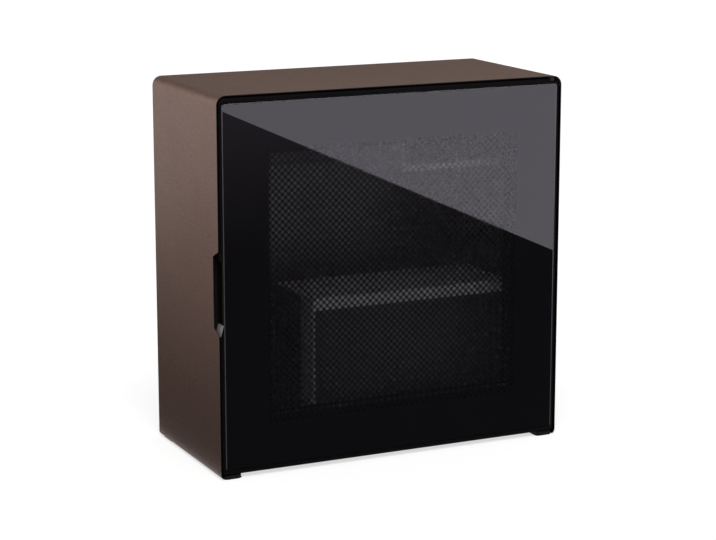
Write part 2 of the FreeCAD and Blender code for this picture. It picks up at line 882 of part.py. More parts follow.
def make_cup():
    """The lining of the grip space in the door's left edge, open to the side."""
    cup = body("cup")
    outside = rectangle((glass_left, notch_middle - grip_half), (grip_end, notch_middle + grip_half))
    pad(cup, "cup_block", "XZ_Plane", outside, glass_back, door_back)
    hollow = rectangle((glass_left - overrun, notch_middle - grip_half + cup_wall),
                       (grip_end - cup_wall, notch_middle + grip_half - cup_wall))
    pocket(cup, "cup_hollow", "XZ_Plane", hollow, glass_back + cup_wall, door_back - cup_wall)
    return piece(cup, "finger_cup")


def bore(owner, name, low, high, radius):
    """A round hole on the hinge axis."""
    sketch = owner.newObject("Sketcher::SketchObject", name + "_outline")
    origin_plane = [item for item in owner.Origin.OriginFeatures if item.Role == "XY_Plane"][0]
    sketch.AttachmentSupport = [(origin_plane, "")]
    sketch.MapMode = "FlatFace"
    bind(sketch, "AttachmentOffset.Base.z", high)
    sketch.addGeometry(Part.Circle(Vector(pivot_x.number, pivot_y.number, 0), along_z, radius.number))
    for kind, size in (("DistanceX", pivot_x), ("DistanceY", pivot_y)):
        index = sketch.addConstraint(Sketcher.Constraint(kind, -1, 1, 0, 3, size.number))
        sketch.setExpression(f"Constraints[{index}]", size.formula)
    index = sketch.addConstraint(Sketcher.Constraint("Radius", 0, radius.number))
    sketch.setExpression(f"Constraints[{index}]", radius.formula)
    before = owner.Shape.Volume
    feature = owner.newObject("PartDesign::Pocket", name)
    feature.Profile = sketch
    bind(feature, "Length", high - low)
    doc.recompute()
    if owner.Shape.Volume >= before:
        raise RuntimeError(f"{name} removes nothing")
    return feature


def ring(name, outer, inner, y):
    """A flat rectangular frame seen from the front."""
    owner = body(name)
    pad(owner, name + "_outside", "XZ_Plane", rectangle(*outer), y[0], y[1])
    pocket(owner, name + "_opening", "XZ_Plane", rectangle(*inner), y[0] - overrun, y[1] + overrun)
    return owner


def make_glazing():
    glass = body("glass")
    pad(glass, "glass_pane", "XZ_Plane", rectangle((glass_left, glass_low), (glass_right, glass_high)),
        front_plane, glass_back)
    rounded(glass, "glass_corners", along_y, lambda p: True, glass_corner)
    piece(glass, "front_glass")
    edge = seat_gap
    outer = ((window_left + edge, window_low + edge), (window_right - edge, window_high - edge))
    inner = ((window_left + spacer_width, window_low + spacer_width),
             (window_right - spacer_width, window_high - spacer_width))
    spacer_back = glass_back + air_space
    piece(ring("spacer", outer, inner, (glass_back, spacer_back)), "glass_spacer")
    pane = box("inner_pane", (outer[0][0], outer[1][0]), (spacer_back, door_back - trim_thickness),
               (outer[0][1], outer[1][1]))
    piece(pane, "inner_glass")
    lap = trim_lap - edge
    rim = trim_width - trim_lap
    trim = ring("trim", ((window_left - lap, window_low - lap), (window_right + lap, window_high + lap)),
                ((window_left + rim, window_low + rim), (window_right - rim, window_high - rim)),
                (door_back - trim_thickness, door_back))
    piece(trim, "door_inner_trim")


def make_gasket():
    outer = ((cavity_left - gasket_lap - gasket_width, cavity_floor - gasket_lap - gasket_width),
             (cavity_right + gasket_lap + gasket_width, cavity_ceiling + gasket_lap + gasket_width))
    inner = ((cavity_left - gasket_lap, cavity_floor - gasket_lap),
             (cavity_right + gasket_lap, cavity_ceiling + gasket_lap))
    gasket = ring("gasket", outer, inner, (door_back, cabinet_front - cabinet_gap))
    rounded(gasket, "gasket_corners", along_y, lambda p: near(abs(p.x), outer[1][0]), gasket_corner)
    return piece(gasket, "door_gasket")


def make_hinges():
    plate_left = pivot_x + hinge_reach - hinge_plate_width
    plate_right = inner_right - casing_foot_radius + casing_wall
    plate_front = front_plane + foot_lip + hinge_set_back
    leg_front = cabinet_front - hinge_leg_thickness
    low_plate = box("hinge_low_plate", (plate_left, plate_right), (plate_front, cabinet_front),
                    (flange_top, hinge_low_top))
    low_leg = box("hinge_low_leg", (plate_left, plate_right), (leg_front, cabinet_front),
                  (hinge_low_top, hinge_low_top + hinge_leg_height))
    low_start = hinge_low_top - pin_radius
    high_start = hinge_high_bottom + pin_radius - pin_length
    low_hole = rod("hinge_low_hole", "z", (pivot_x, pivot_y, low_start), pin_length, pin_radius)
    piece(cut("hinge_low", join("hinge_low_solid", [low_plate, low_leg]), low_hole), "lower_hinge")
    top_left = pivot_x - hinge_reach
    arm = box("hinge_top_arm", (top_left, right_side), (pivot_y, cabinet_front), (hinge_high_bottom, height))
    knuckle = rod("hinge_top_knuckle", "z", (pivot_x, pivot_y, hinge_high_bottom), height - hinge_high_bottom,
                  hinge_reach)
    block = join("hinge_top_block", [arm, knuckle])
    radius = inner_top_radius - seat_gap
    middle = inner_right - inner_top_radius
    curve = rod("hinge_top_curve", "y", (middle, front_plane, inner_top - inner_top_radius),
                door_thickness * 2, radius)
    level = box("hinge_top_level", (top_left, middle), (front_plane, cabinet_front + overrun),
                (hinge_high_bottom - overrun, inner_top - seat_gap))
    corner = doc.addObject("Part::Common", "hinge_top_corner")
    corner.Base = block
    corner.Tool = join("hinge_top_follower", [curve, level])
    leg_right = door_right - door_chamfer
    top_leg = box("hinge_top_leg", (top_left - screw_inset * 2, leg_right), (leg_front, cabinet_front),
                  (hinge_high_bottom - hinge_leg_height, hinge_high_bottom))
    high_hole = rod("hinge_top_hole", "z", (pivot_x, pivot_y, high_start), pin_length, pin_radius)
    piece(cut("hinge_top", join("hinge_top_solid", [corner, top_leg]), high_hole), "upper_hinge")
    for side, start in (("lower", low_start), ("upper", high_start)):
        pin = rod(f"{side}_pin_rod", "z", (pivot_x, pivot_y, start), pin_length, pin_radius)
        piece(pin, f"{side}_hinge_pin")
    for side, start in (("lower", door_bottom - hinge_clear + running_gap),
                        ("upper", hinge_high_bottom - hinge_clear - bush_length)):
        length = bush_length + (hinge_clear - running_gap if side == "lower" else none)
        outer = rod(f"{side}_bush_outside", "z", (pivot_x, pivot_y, start), length, bush_radius)
        hole = rod(f"{side}_bush_hole", "z", (pivot_x, pivot_y, start - overrun),
                   length + overrun * 2, pin_radius + running_gap)
        piece(cut(f"{side}_bush", outer, hole), f"{side}_bush")
    screws = []
    screw_x = plate_left + screw_inset
    for number, level in enumerate((
        hinge_low_top + hinge_leg_height - screw_inset,
        hinge_low_top + hinge_leg_height / 2,
        hinge_high_bottom - hinge_leg_height + screw_inset,
        hinge_high_bottom - hinge_leg_height / 2,
    )):
        screws.append(screw_head(f"hinge_screw_{number}", (screw_x, leg_front - screw_head_height, level)))
    piece(group("hinge_screw_heads", screws), "hinge_screws")


# Inside the cavity

def make_shelves():
    front = shelf_front
    back = cavity_back - shelf_back_gap
    right = cavity_right - shelf_side_gap
    top = hump_top + shelf_thickness
    lower = body("lower_shelf_body")
    pad(lower, "lower_shelf_plate", "XY_Plane", rectangle((hump_left, front), (right, back)), hump_top, top)
    lip = rectangle((hump_left, front), (right, front + shelf_thickness))
    pad(lower, "lower_shelf_lip", "XY_Plane", lip, top - shelf_lip, hump_top)
    side = rectangle((hump_left, front), (hump_left + shelf_thickness, hump_front))
    pad(lower, "lower_shelf_side", "XY_Plane", side, cavity_floor, hump_top)
    rounded(lower, "lower_shelf_front_edge", along_x,
            lambda p: near(p.z, top) and near(p.y, front), shelf_thickness / 2)
    piece(lower, "lower_shelf")
    upper_top = upper_shelf_height
    upper_low = upper_top - shelf_thickness
    shelf = body("upper_shelf_body")
    pad(shelf, "upper_shelf_plate", "XY_Plane", rectangle((upper_shelf_left, front), (right, back)),
        upper_low, upper_top)
    lip = rectangle((upper_shelf_left, front), (right, front + shelf_thickness))
    pad(shelf, "upper_shelf_lip_part", "XY_Plane", lip, upper_top - upper_shelf_lip, upper_low)
    hanger = rectangle((upper_shelf_left, front), (upper_shelf_left + shelf_thickness, back))
    pad(shelf, "upper_shelf_hanger", "XY_Plane", hanger, upper_top, cavity_ceiling)
    rounded(shelf, "upper_shelf_front_edge", along_x,
            lambda p: near(p.z, upper_top) and near(p.y, front), shelf_thickness / 2)
    piece(shelf, "upper_shelf")


def make_evaporator():
    back = cavity_back - evaporator_stand
    front = back - evaporator_thickness
    plate = box("evaporator_sheet", (evaporator_left, evaporator_right), (front, back),
                (evaporator_bottom, evaporator_top))
    parts = [plate]
    pitch = (evaporator_top - evaporator_bottom - boss_inset * 2 - channel_width) / (channel_count - 1)
    low_x = evaporator_left + boss_inset
    high_x = evaporator_right - boss_inset
    y = (front - channel_height, front)
    for number in range(channel_count):
        z = evaporator_bottom + boss_inset + pitch * number
        parts.append(box(f"evaporator_run_{number}", (low_x, high_x), y, (z, z + channel_width)))
        if number < channel_count - 1:
            end = high_x - channel_width if number % 2 == 0 else low_x
            parts.append(box(f"evaporator_turn_{number}", (end, end + channel_width), y,
                             (z + channel_width, z + pitch)))
    for number, (x, z) in enumerate((
        (evaporator_left + boss_inset / 2, evaporator_bottom + boss_inset / 2),
        (evaporator_right - boss_inset / 2, evaporator_bottom + boss_inset / 2),
        (evaporator_left + boss_inset / 2, evaporator_top - boss_inset / 2),
        (evaporator_right - boss_inset / 2, evaporator_top - boss_inset / 2),
    )):
        parts.append(rod(f"evaporator_stand_{number}", "y", (x, back, z), evaporator_stand, boss_radius))
    return piece(join("evaporator", parts), "evaporator_plate")


def make_thermostat():
    top = cavity_ceiling
    low = top - thermostat_height
    right = thermostat_left + thermostat_width
    back = thermostat_front + thermostat_depth
    housing = body("housing")
    pad(housing, "housing_block", "XY_Plane", rectangle((thermostat_left, thermostat_front), (right, back)),
        low, top)
    rounded(housing, "housing_corners", along_z, lambda p: True, thermostat_rounding)
    middle_x = thermostat_left + thermostat_width / 2
    middle_z = low + thermostat_height / 2
    hole = rod("housing_shaft_hole", "y", (middle_x, thermostat_front - overrun, middle_z),
               dial_shaft_length + overrun * 2, dial_shaft_radius + running_gap)
    piece(cut("housing_with_hole", housing, hole), "thermostat_housing")
    shaft = rod("dial_shaft_rod", "y", (middle_x, thermostat_front - hinge_clear, middle_z),
                dial_shaft_length, dial_shaft_radius)
    piece(shaft, "dial_shaft")
    dial_front = thermostat_front - hinge_clear - dial_length
    knob = rod("dial_knob", "y", (middle_x, dial_front, middle_z), dial_length, dial_radius)
    grooves = []
    for number in range(dial_grip_count):
        angle = math.tau * number / dial_grip_count
        start = (middle_x + dial_radius * math.cos(angle), dial_front - overrun,
                 middle_z + dial_radius * math.sin(angle))
        grooves.append(prism(f"dial_groove_{number}", "y", start, dial_length + overrun * 2, dial_grip,
                             groove_sides))
    pointer = box("dial_pointer", (middle_x - dial_grip / 2, middle_x + dial_grip / 2),
                  (dial_front - overrun, dial_front + dial_grip / 2), (middle_z, middle_z + dial_radius))
    dial = cut("dial_grooved", knob, join("dial_cuts", grooves + [pointer]))
    return piece(dial, "thermostat_dial")


def make_lamp():
    low = cavity_ceiling - lamp_base_height
    x = (lamp_left, lamp_left + lamp_width)
    y = (lamp_front, lamp_front + lamp_depth)
    base = body("lamp_base_body")
    pad(base, "lamp_base_block", "XY_Plane", rectangle((x[0], y[0]), (x[1], y[1])), low, cavity_ceiling)
    rounded(base, "lamp_base_corners", along_z, lambda p: True, lamp_lens_inset)
    piece(base, "lamp_base")
    inset = lamp_lens_inset
    lens = body("lens")
    pad(lens, "lens_block", "XY_Plane",
        rectangle((x[0] + inset, y[0] + inset), (x[1] - inset, y[1] - inset)), low - lamp_lens_height, low)
    underside = [f"Edge{number}" for number, edge in enumerate(lens.Shape.Edges, 1)
                 if near(edge.BoundBox.ZMax, low - lamp_lens_height)]
    dress(lens, "lens_rounding", "PartDesign::Fillet", underside, lamp_lens_inset)
    piece(lens, "lamp_lens")


# Rear: condenser and machine space

def bent_path(corners, radius):
    """Straight runs through the corners, with each bend drawn as a few equal chords of its arc."""
    points = [corners[0]]
    for number in range(1, len(corners) - 1):
        corner = corners[number]
        to_last = (corners[number - 1] - corner).normalize()
        to_next = (corners[number + 1] - corner).normalize()
        reach = radius[number] if isinstance(radius, list) else radius
        centre = corner + (to_last + to_next) * reach
        for step in range(chords_per_bend + 1):
            angle = math.pi / 2 * step / chords_per_bend
            point = centre - to_next * (reach * math.cos(angle)) - to_last * (reach * math.sin(angle))
            if points[-1].distanceToPoint(point) > number_of(pick_reach):
                points.append(point)
    points.append(corners[-1])
    return points


def tube_along(points, radius):
    """A tube of mitred straight runs through the points, round but for its flats."""
    path = Part.makePolygon(points)
    turn = Rotation(along_z, points[1] - points[0])
    rim = []
    for number in range(tube_sides + 1):
        angle = math.tau * number / tube_sides
        rim.append(points[0] + turn.multVec(Vector(radius * math.cos(angle), radius * math.sin(angle), 0)))
    section = Part.makePolygon(rim)
    swept = path.makePipeShell([section], True, False, right_corners)
    expected = Part.Face(section).Area * path.Length
    if abs(swept.Volume - expected) > expected * volume_share:
        raise RuntimeError("a tube's volume doesn't match its length")
    return swept


def place(x, y, z):
    return Vector(number_of(x), number_of(y), number_of(z))


def shaped(name, shape):
    item = doc.addObject("Part::Feature", name)
    item.Shape = shape
    return item


def make_condenser():
    y = number_of(rear_plane - condenser_back)
    pitch = number_of(condenser_pitch)
    bottom = number_of(condenser_bottom)
    run = number_of(condenser_half_width * 2 - condenser_pitch)
    reach = run / 2 + pitch / 2
    end_x = run / 2
    corners = [Vector(-end_x, number_of(panel_back), bottom), Vector(-end_x, y, bottom)]
    radii = [0, number_of(condenser_end_bend)]
    side = 1
    for number in range(condenser_run_count - 1):
        level = bottom + pitch * number
        corners += [Vector(reach * side, y, level), Vector(reach * side, y, level + pitch)]
        radii += [pitch / 2, pitch / 2]
        side = -side
    top = bottom + pitch * (condenser_run_count - 1)
    corners += [Vector(end_x * side, y, top), Vector(end_x * side, number_of(panel_back), top)]
    radii += [number_of(condenser_end_bend), 0]
    tube = tube_along(bent_path(corners, radii), number_of(condenser_tube_radius))
    piece(shaped("condenser_path", tube), "condenser_tube")
    wires = []
    start_z = condenser_bottom - wire_overhang
    length = condenser_pitch * (condenser_run_count - 1) + wire_overhang * 2
    offset = condenser_tube_radius + wire_radius + running_gap
    first_x = -(wire_pitch * (wire_count - 1) / 2)
    for number in range(wire_count):
        x = first_x + wire_pitch * number
        for side, wire_y in (("front", rear_plane - condenser_back - offset),
                             ("rear", rear_plane - condenser_back + offset)):
            wires.append(prism(f"condenser_{side}_wire_{number}", "z", (x, wire_y, start_z), length,
                               wire_radius, wire_sides))
    piece(group("condenser_wire_set", wires), "condenser_wires")
    clips = []
    clip_back = rear_plane - condenser_back - condenser_tube_radius - running_gap
    for level in (0, condenser_run_count - 1):
        z = condenser_bottom + condenser_pitch * level
        for side, x in (("left", -condenser_half_width + condenser_pitch / 2 + clip_inset),
                        ("right", condenser_half_width - condenser_pitch / 2 - clip_inset)):
            clips.append(box(f"condenser_clip_{side}_{level}", (x - clip_width / 2, x + clip_width / 2),
                             (panel_back, clip_back), (z - clip_height / 2, z + clip_height / 2)))
    piece(group("condenser_clip_set", clips), "condenser_clips")


def faceted(profile, middle_x, middle_y, sides):
    """A closed form turned about an upright axis, drawn with flat sides, from radius and level pairs."""
    rings = []
    for radius, level in profile:
        ring_points = []
        for number in range(sides):
            angle = math.tau * number / sides
            across = middle_x + radius * math.cos(angle)
            inward = middle_y + radius * math.sin(angle)
            ring_points.append(place(across, inward, level))
        rings.append(ring_points)
    loops = [rings[0], rings[-1]]
    for low, high in zip(rings, rings[1:]):
        for number in range(sides):
            following = (number + 1) % sides
            loops.append([low[number], low[following], high[following], high[number]])
    faces = [Part.Face(Part.makePolygon(loop + loop[:1])) for loop in loops]
    return Part.makeSolid(Part.makeShell(faces))


def make_compressor():
    shoulder = compressor_dome * shoulder_share
    belt_low = compressor_belt - belt_height / 2
    belt_high = compressor_belt + belt_height / 2
    shell = faceted((
        (compressor_radius, compressor_bottom),
        (compressor_radius, belt_low),
        (compressor_radius + belt_width, belt_low),
        (compressor_radius + belt_width, belt_high),
        (compressor_radius, belt_high),
        (compressor_radius, compressor_top - compressor_dome),
        (compressor_radius - shoulder, compressor_top - shoulder),
        (compressor_radius - compressor_dome, compressor_top),
    ), compressor_middle_x, compressor_middle_y, compressor_sides)
    piece(shaped("compressor_shell", shell), "compressor")
    bracket_low = compressor_bottom - bracket_thickness
    x = (compressor_middle_x - bracket_length / 2, compressor_middle_x + bracket_length / 2)
    y = (compressor_middle_y - bracket_depth / 2, compressor_middle_y + bracket_depth / 2)
    bracket = body("bracket")
    pad(bracket, "bracket_plate", "XY_Plane", rectangle((x[0], y[0]), (x[1], y[1])), bracket_low,
        compressor_bottom)
    rounded(bracket, "bracket_corners", along_z, lambda p: True, mount_inset)
    piece(bracket, "compressor_bracket")
    mounts = []
    for number, (place_x, place_y) in enumerate((
        (x[0] + mount_inset, y[0] + mount_inset), (x[1] - mount_inset, y[0] + mount_inset),
        (x[0] + mount_inset, y[1] - mount_inset), (x[1] - mount_inset, y[1] - mount_inset),
    )):
        mounts.append(prism(f"mount_{number}", "z", (place_x, place_y, base_top), bracket_low - base_top,
                            mount_radius, mount_sides))
    piece(group("mount_set", mounts), "compressor_mounts")
    relay_x = compressor_middle_x + compressor_radius + belt_width + running_gap
    relay = body("relay")
    pad(relay, "relay_block", "XY_Plane",
        rectangle((relay_x, compressor_middle_y - relay_depth / 2),
                  (relay_x + relay_width, compressor_middle_y + relay_depth / 2)),
        relay_bottom, relay_bottom + relay_height)
    rounded(relay, "relay_corners", along_z, lambda p: True, thermostat_rounding)
    piece(relay, "relay_box")


def make_pipes():
    bend = number_of(pipe_bend)
    radius = number_of(pipe_radius)
    side_x = compressor_middle_x - compressor_radius - seat_gap
    suction = bent_path([
        place(side_x, compressor_middle_y, suction_bottom),
        place(suction_x, compressor_middle_y, suction_bottom),
        place(suction_x, compressor_middle_y, machine_top),
    ], bend)
    piece(shaped("suction_path", tube_along(suction, radius)), "suction_pipe")
    drier_top = drier_bottom + drier_length
    barrel = rod("drier_barrel", "z", (drier_x, drier_y, drier_bottom), drier_length, drier_radius)
    neck = rod("drier_neck", "z", (drier_x, drier_y, drier_top), machine_top - drier_top, pipe_radius)
    piece(join("drier", [barrel, neck]), "filter_drier")
    loop_bottom = drier_bottom - pipe_bend * 2
    loop_x = drier_x + capillary_offset
    capillary = bent_path([
        place(drier_x, drier_y, drier_bottom),
        place(drier_x, drier_y, loop_bottom),
        place(loop_x, drier_y, loop_bottom),
        place(loop_x, drier_y, machine_top),
    ], number_of(capillary_offset) / 2)
    piece(shaped("capillary_path", tube_along(capillary, number_of(capillary_radius))), "capillary_tube")
    discharge_x = machine_left + pipe_bend * 2
    discharge = bent_path([
        place(side_x, compressor_middle_y, discharge_bottom),
        place(discharge_x, compressor_middle_y, discharge_bottom),
        place(discharge_x, compressor_middle_y, machine_top),
    ], bend)
    piece(shaped("discharge_path", tube_along(discharge, radius)), "discharge_pipe")


def make_cover():
    left = machine_left - cover_lap
    right = machine_right + cover_lap
    top = machine_top + cover_lap
    rear = rear_plane - cover_set_back
    cover = body("cover")
    pad(cover, "cover_outside", "XZ_Plane", rectangle((left, base_top), (right, top)), panel_back, rear)
    hollow = rectangle((left + cover_wall, base_top + cover_wall), (right - cover_wall, top - cover_wall))
    pocket(cover, "cover_hollow", "XZ_Plane", hollow, panel_back - overrun, rear - cover_wall)
    rounded(cover, "cover_corners", along_y, lambda p: near(p.z, top) or near(p.z, base_top),
            cover_wall / 2)
    slot_x = left + louvre_start_x
    slot_z = louvre_start_z
    slot = pocket(cover, "cover_louvre", "XZ_Plane",
                  rectangle((slot_x, slot_z), (slot_x + louvre_length, slot_z + louvre_height)),
                  rear - cover_wall - overrun, rear + overrun)
    rows_of_slots = cover.newObject("PartDesign::LinearPattern", "cover_louvre_rows")
    columns = cover.newObject("PartDesign::LinearPattern", "cover_louvre_columns")
    axes = {item.Role: item for item in cover.Origin.OriginFeatures}
    grid = cover.newObject("PartDesign::MultiTransform", "cover_louvres")
    grid.Originals = [slot]
    for pattern, role, count, pitch in ((rows_of_slots, "Z_Axis", louvre_rows, louvre_pitch_z),
                                        (columns, "X_Axis", louvre_columns, louvre_pitch_x)):
        pattern.Direction = (axes[role], [""])
        pattern.Occurrences = count
        bind(pattern, "Length", pitch * (count - 1))
    grid.Transformations = [rows_of_slots, columns]
    cover.Tip = grid
    doc.recompute()
    hole = rod("cover_gland_hole", "y", (gland_x, rear - cover_wall - overrun, gland_z),
               cover_wall + overrun * 2, gland_body_radius + running_gap)
    piece(cut("cover_with_hole", cover, hole), "machine_cover")
    flange = rod("gland_flange", "y", (gland_x, rear, gland_z), cover_set_back, gland_radius)
    stem = rod("gland_stem", "y", (gland_x, rear_plane - gland_length, gland_z), gland_length,
               gland_body_radius)
    cable_hole = rod("gland_hole", "y", (gland_x, rear_plane - gland_length - overrun, gland_z),
                     gland_length + overrun * 2, gland_bore_radius)
    piece(cut("gland", join("gland_solid", [flange, stem]), cable_hole), "cable_gland")
    heads = []
    inset = cover_lap + screw_inset
    for number, (x, z) in enumerate((
        (left + inset, top - inset), (right - inset, top - inset), (right - inset, base_top + inset),
    )):
        heads.append(screw_head(f"cover_screw_{number}", (x, rear, z)))
    piece(group("cover_screw_heads", heads), "cover_screws")
    panel_heads = []
    edge_x = width / 2 - turned_edge / 2
    for number, (x, z) in enumerate((
        (-edge_x, base_top + turned_edge), (edge_x, base_top + turned_edge),
        (-edge_x, notch_middle), (edge_x, notch_middle),
        (-edge_x, cabinet_top - turned_edge), (edge_x, cabinet_top - turned_edge),
    )):
        panel_heads.append(screw_head(f"panel_screw_{number}", (x, panel_back, z)))
    piece(group("panel_screw_heads", panel_heads), "panel_screws")


make_casing()
make_base_plate()
make_feet()
make_back_panel()
make_front_strip()
make_liner()
make_insulation()
make_door_frame()
make_cup()
make_glazing()
make_gasket()
make_hinges()
make_shelves()
make_evaporator()
make_thermostat()
make_lamp()
make_condenser()
make_compressor()
make_pipes()
make_cover()
doc.recompute()

for item in doc.Objects:
    if "Invalid" in item.State or "Error" in item.State:
        raise RuntimeError(f"{item.Name} failed: {item.State}")
os.makedirs("parts", exist_ok=True)
for item in pieces:
    shape = item.Shape
    if shape.isNull() or not shape.isValid() or not shape.Solids:
        raise RuntimeError(f"{item.Label} has no sound shape")
    shape.exportStep(f"parts/{item.Label}.step")
print(len(pieces), "pieces")
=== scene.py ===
import bpy
import bmesh
import json
import math
from mathutils import Matrix, Vector


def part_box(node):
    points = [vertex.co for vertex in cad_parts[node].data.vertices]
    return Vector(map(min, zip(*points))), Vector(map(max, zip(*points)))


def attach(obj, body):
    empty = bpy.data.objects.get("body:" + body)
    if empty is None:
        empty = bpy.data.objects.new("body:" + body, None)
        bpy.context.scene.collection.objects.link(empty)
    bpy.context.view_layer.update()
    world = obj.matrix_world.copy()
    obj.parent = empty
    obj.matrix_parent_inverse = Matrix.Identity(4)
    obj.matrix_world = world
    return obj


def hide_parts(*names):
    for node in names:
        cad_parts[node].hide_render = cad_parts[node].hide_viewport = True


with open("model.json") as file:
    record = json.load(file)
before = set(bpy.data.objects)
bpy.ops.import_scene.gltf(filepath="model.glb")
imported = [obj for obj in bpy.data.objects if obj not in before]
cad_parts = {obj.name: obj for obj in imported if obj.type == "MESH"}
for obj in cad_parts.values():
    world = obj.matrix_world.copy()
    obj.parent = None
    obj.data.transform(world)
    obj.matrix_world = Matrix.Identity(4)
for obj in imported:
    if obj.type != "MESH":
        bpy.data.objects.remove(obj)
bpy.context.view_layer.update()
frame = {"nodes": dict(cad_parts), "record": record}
nodes = frame["nodes"]
slotOf = {entry["node"]: entry["material_slot"] for entry in frame["record"]["subparts"]}
print("frame loaded:", len(nodes), "nodes")


# Shader helpers

def grey(value):
    return (value, value, value)


def setInputs(node, values):
    for label, value in values.items():
        node.inputs[label].default_value = value


def newGroup(name, inputs, outputs):
    group = bpy.data.node_groups.new(name, "ShaderNodeTree")
    for label, kind, value in inputs:
        socket = group.interface.new_socket(label, in_out="INPUT", socket_type=kind)
        socket.default_value = value
    for label, kind in outputs:
        group.interface.new_socket(label, in_out="OUTPUT", socket_type=kind)
    return group, group.nodes.new("NodeGroupInput"), group.nodes.new("NodeGroupOutput")


def noiseAt(tree, vector, scale, detail=3.0, roughness=0.6):
    noise = tree.nodes.new("ShaderNodeTexNoise")
    setInputs(noise, {"Detail": detail, "Roughness": roughness})
    tree.links.new(vector, noise.inputs["Vector"])
    if isinstance(scale, (int, float)):
        noise.inputs["Scale"].default_value = scale
    else:
        tree.links.new(scale, noise.inputs["Scale"])
    return noise.outputs["Fac"]


def mathNode(tree, operation, first, second=None):
    node = tree.nodes.new("ShaderNodeMath")
    node.operation = operation
    for number, value in enumerate((first, second)):
        if value is None:
            continue
        if isinstance(value, (int, float)):
            node.inputs[number].default_value = value
        else:
            tree.links.new(value, node.inputs[number])
    return node.outputs[0]


def rampBetween(tree, value, low, high, toLow=0.0, toHigh=1.0):
    node = tree.nodes.new("ShaderNodeMapRange")
    node.interpolation_type = "SMOOTHSTEP"
    tree.links.new(value, node.inputs["Value"])
    setInputs(node, {"From Min": low, "From Max": high, "To Min": toLow, "To Max": toHigh})
    return node.outputs["Result"]


def mixColour(tree, factor, first, second):
    node = tree.nodes.new("ShaderNodeMix")
    node.data_type = "RGBA"
    for socket, value in ((node.inputs[0], factor), (node.inputs[6], first), (node.inputs[7], second)):
        if isinstance(value, (tuple, list)):
            socket.default_value = (*value[:3], 1.0)
        elif isinstance(value, (int, float)):
            socket.default_value = value
        else:
            tree.links.new(value, socket)
    return node.outputs[2]


# The X, Y and Z of the object's own coordinates
def objectParts(tree):
    parts = tree.nodes.new("ShaderNodeSeparateXYZ")
    tree.links.new(tree.nodes.new("ShaderNodeTexCoord").outputs["Object"], parts.inputs[0])
    return parts.outputs


# Grain shared by every coated, moulded or drawn surface: a pinhead grain, a pebbled one, broad drifts and
# specks of dust that gather where the drifts are strong
grainLook = {"pebbleShare": 0.4, "driftFrom": 0.35, "driftTo": 0.7, "dustScale": 420.0, "dustFrom": 0.16,
             "dustTo": 0.06, "pebbleFrom": 0.36, "pebbleTo": 0.64, "fineFrom": 0.4, "fineTo": 0.75,
             "fineStrength": 0.4}


def makeGrainGroup():
    group, entry, leave = newGroup(
        "surfaceGrain",
        [("Fine Scale", "NodeSocketFloat", 900.0), ("Broad Scale", "NodeSocketFloat", 14.0),
         ("Stretch", "NodeSocketVector", (1.0, 1.0, 1.0))],
        [("Fine", "NodeSocketFloat"), ("Pebble", "NodeSocketFloat"), ("Broad", "NodeSocketFloat"),
         ("Dust", "NodeSocketFloat")],
    )
    place = group.nodes.new("ShaderNodeTexCoord").outputs["Object"]
    stretched = group.nodes.new("ShaderNodeVectorMath")
    stretched.operation = "MULTIPLY"
    group.links.new(place, stretched.inputs[0])
    group.links.new(entry.outputs["Stretch"], stretched.inputs[1])
    fine = noiseAt(group, stretched.outputs[0], entry.outputs["Fine Scale"])
    pebbleScale = mathNode(group, "MULTIPLY", entry.outputs["Fine Scale"], grainLook["pebbleShare"])
    pebble = noiseAt(group, stretched.outputs[0], pebbleScale, detail=2.0, roughness=0.5)
    broad = noiseAt(group, place, entry.outputs["Broad Scale"], detail=4.0, roughness=0.55)
    drift = rampBetween(group, broad, grainLook["driftFrom"], grainLook["driftTo"])
    specks = group.nodes.new("ShaderNodeTexVoronoi")
    specks.inputs["Scale"].default_value = grainLook["dustScale"]
    group.links.new(place, specks.inputs["Vector"])
    dust = rampBetween(group, specks.outputs["Distance"], grainLook["dustFrom"], grainLook["dustTo"])
    group.links.new(fine, leave.inputs["Fine"])
    group.links.new(pebble, leave.inputs["Pebble"])
    group.links.new(drift, leave.inputs["Broad"])
    group.links.new(mathNode(group, "MULTIPLY", dust, drift), leave.inputs["Dust"])
    return group


# Round windows in staggered rows, left open in the black print on the front glass
dotField = {"pitch": 0.01, "radius": 0.0028, "fromSide": 0.0685, "fromBottom": 0.0644, "fromTop": 0.0683,
            "keepPositive": 100.0}


def makePrintGroup():
    glassLow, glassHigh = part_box("front_glass")
    reach = glassHigh.x - dotField["fromSide"]
    lowest, highest = glassLow.z + dotField["fromBottom"], glassHigh.z - dotField["fromTop"]
    group, entry, leave = newGroup(
        "dotPrint",
        [("Pitch", "NodeSocketFloat", dotField["pitch"]),
         ("Radius", "NodeSocketFloat", dotField["radius"])],
        [("Print", "NodeSocketFloat")],
    )
    parts = objectParts(group)
    across, up = parts["X"], parts["Z"]
    pitch = entry.outputs["Pitch"]

    def lattice(shift):
        squares = []
        for value in (across, up):
            cell = mathNode(group, "ADD", mathNode(group, "DIVIDE", value, pitch),
                            shift + dotField["keepPositive"])
            middle = mathNode(group, "SUBTRACT", mathNode(group, "FRACT", cell), 0.5)
            squares.append(mathNode(group, "POWER", mathNode(group, "MULTIPLY", middle, pitch), 2.0))
        return mathNode(group, "SQRT", mathNode(group, "ADD", *squares))

    nearest = mathNode(group, "MINIMUM", lattice(0.0), lattice(0.5))
    dots = mathNode(group, "LESS_THAN", nearest, entry.outputs["Radius"])
    inside = mathNode(group, "LESS_THAN", mathNode(group, "ABSOLUTE", across), reach)
    above = mathNode(group, "GREATER_THAN", up, lowest)
    below = mathNode(group, "LESS_THAN", up, highest)
    window = mathNode(group, "MULTIPLY", inside, mathNode(group, "MULTIPLY", above, below))
    clear = mathNode(group, "MULTIPLY", dots, window)
    group.links.new(mathNode(group, "SUBTRACT", 1.0, clear), leave.inputs["Print"])
    return group


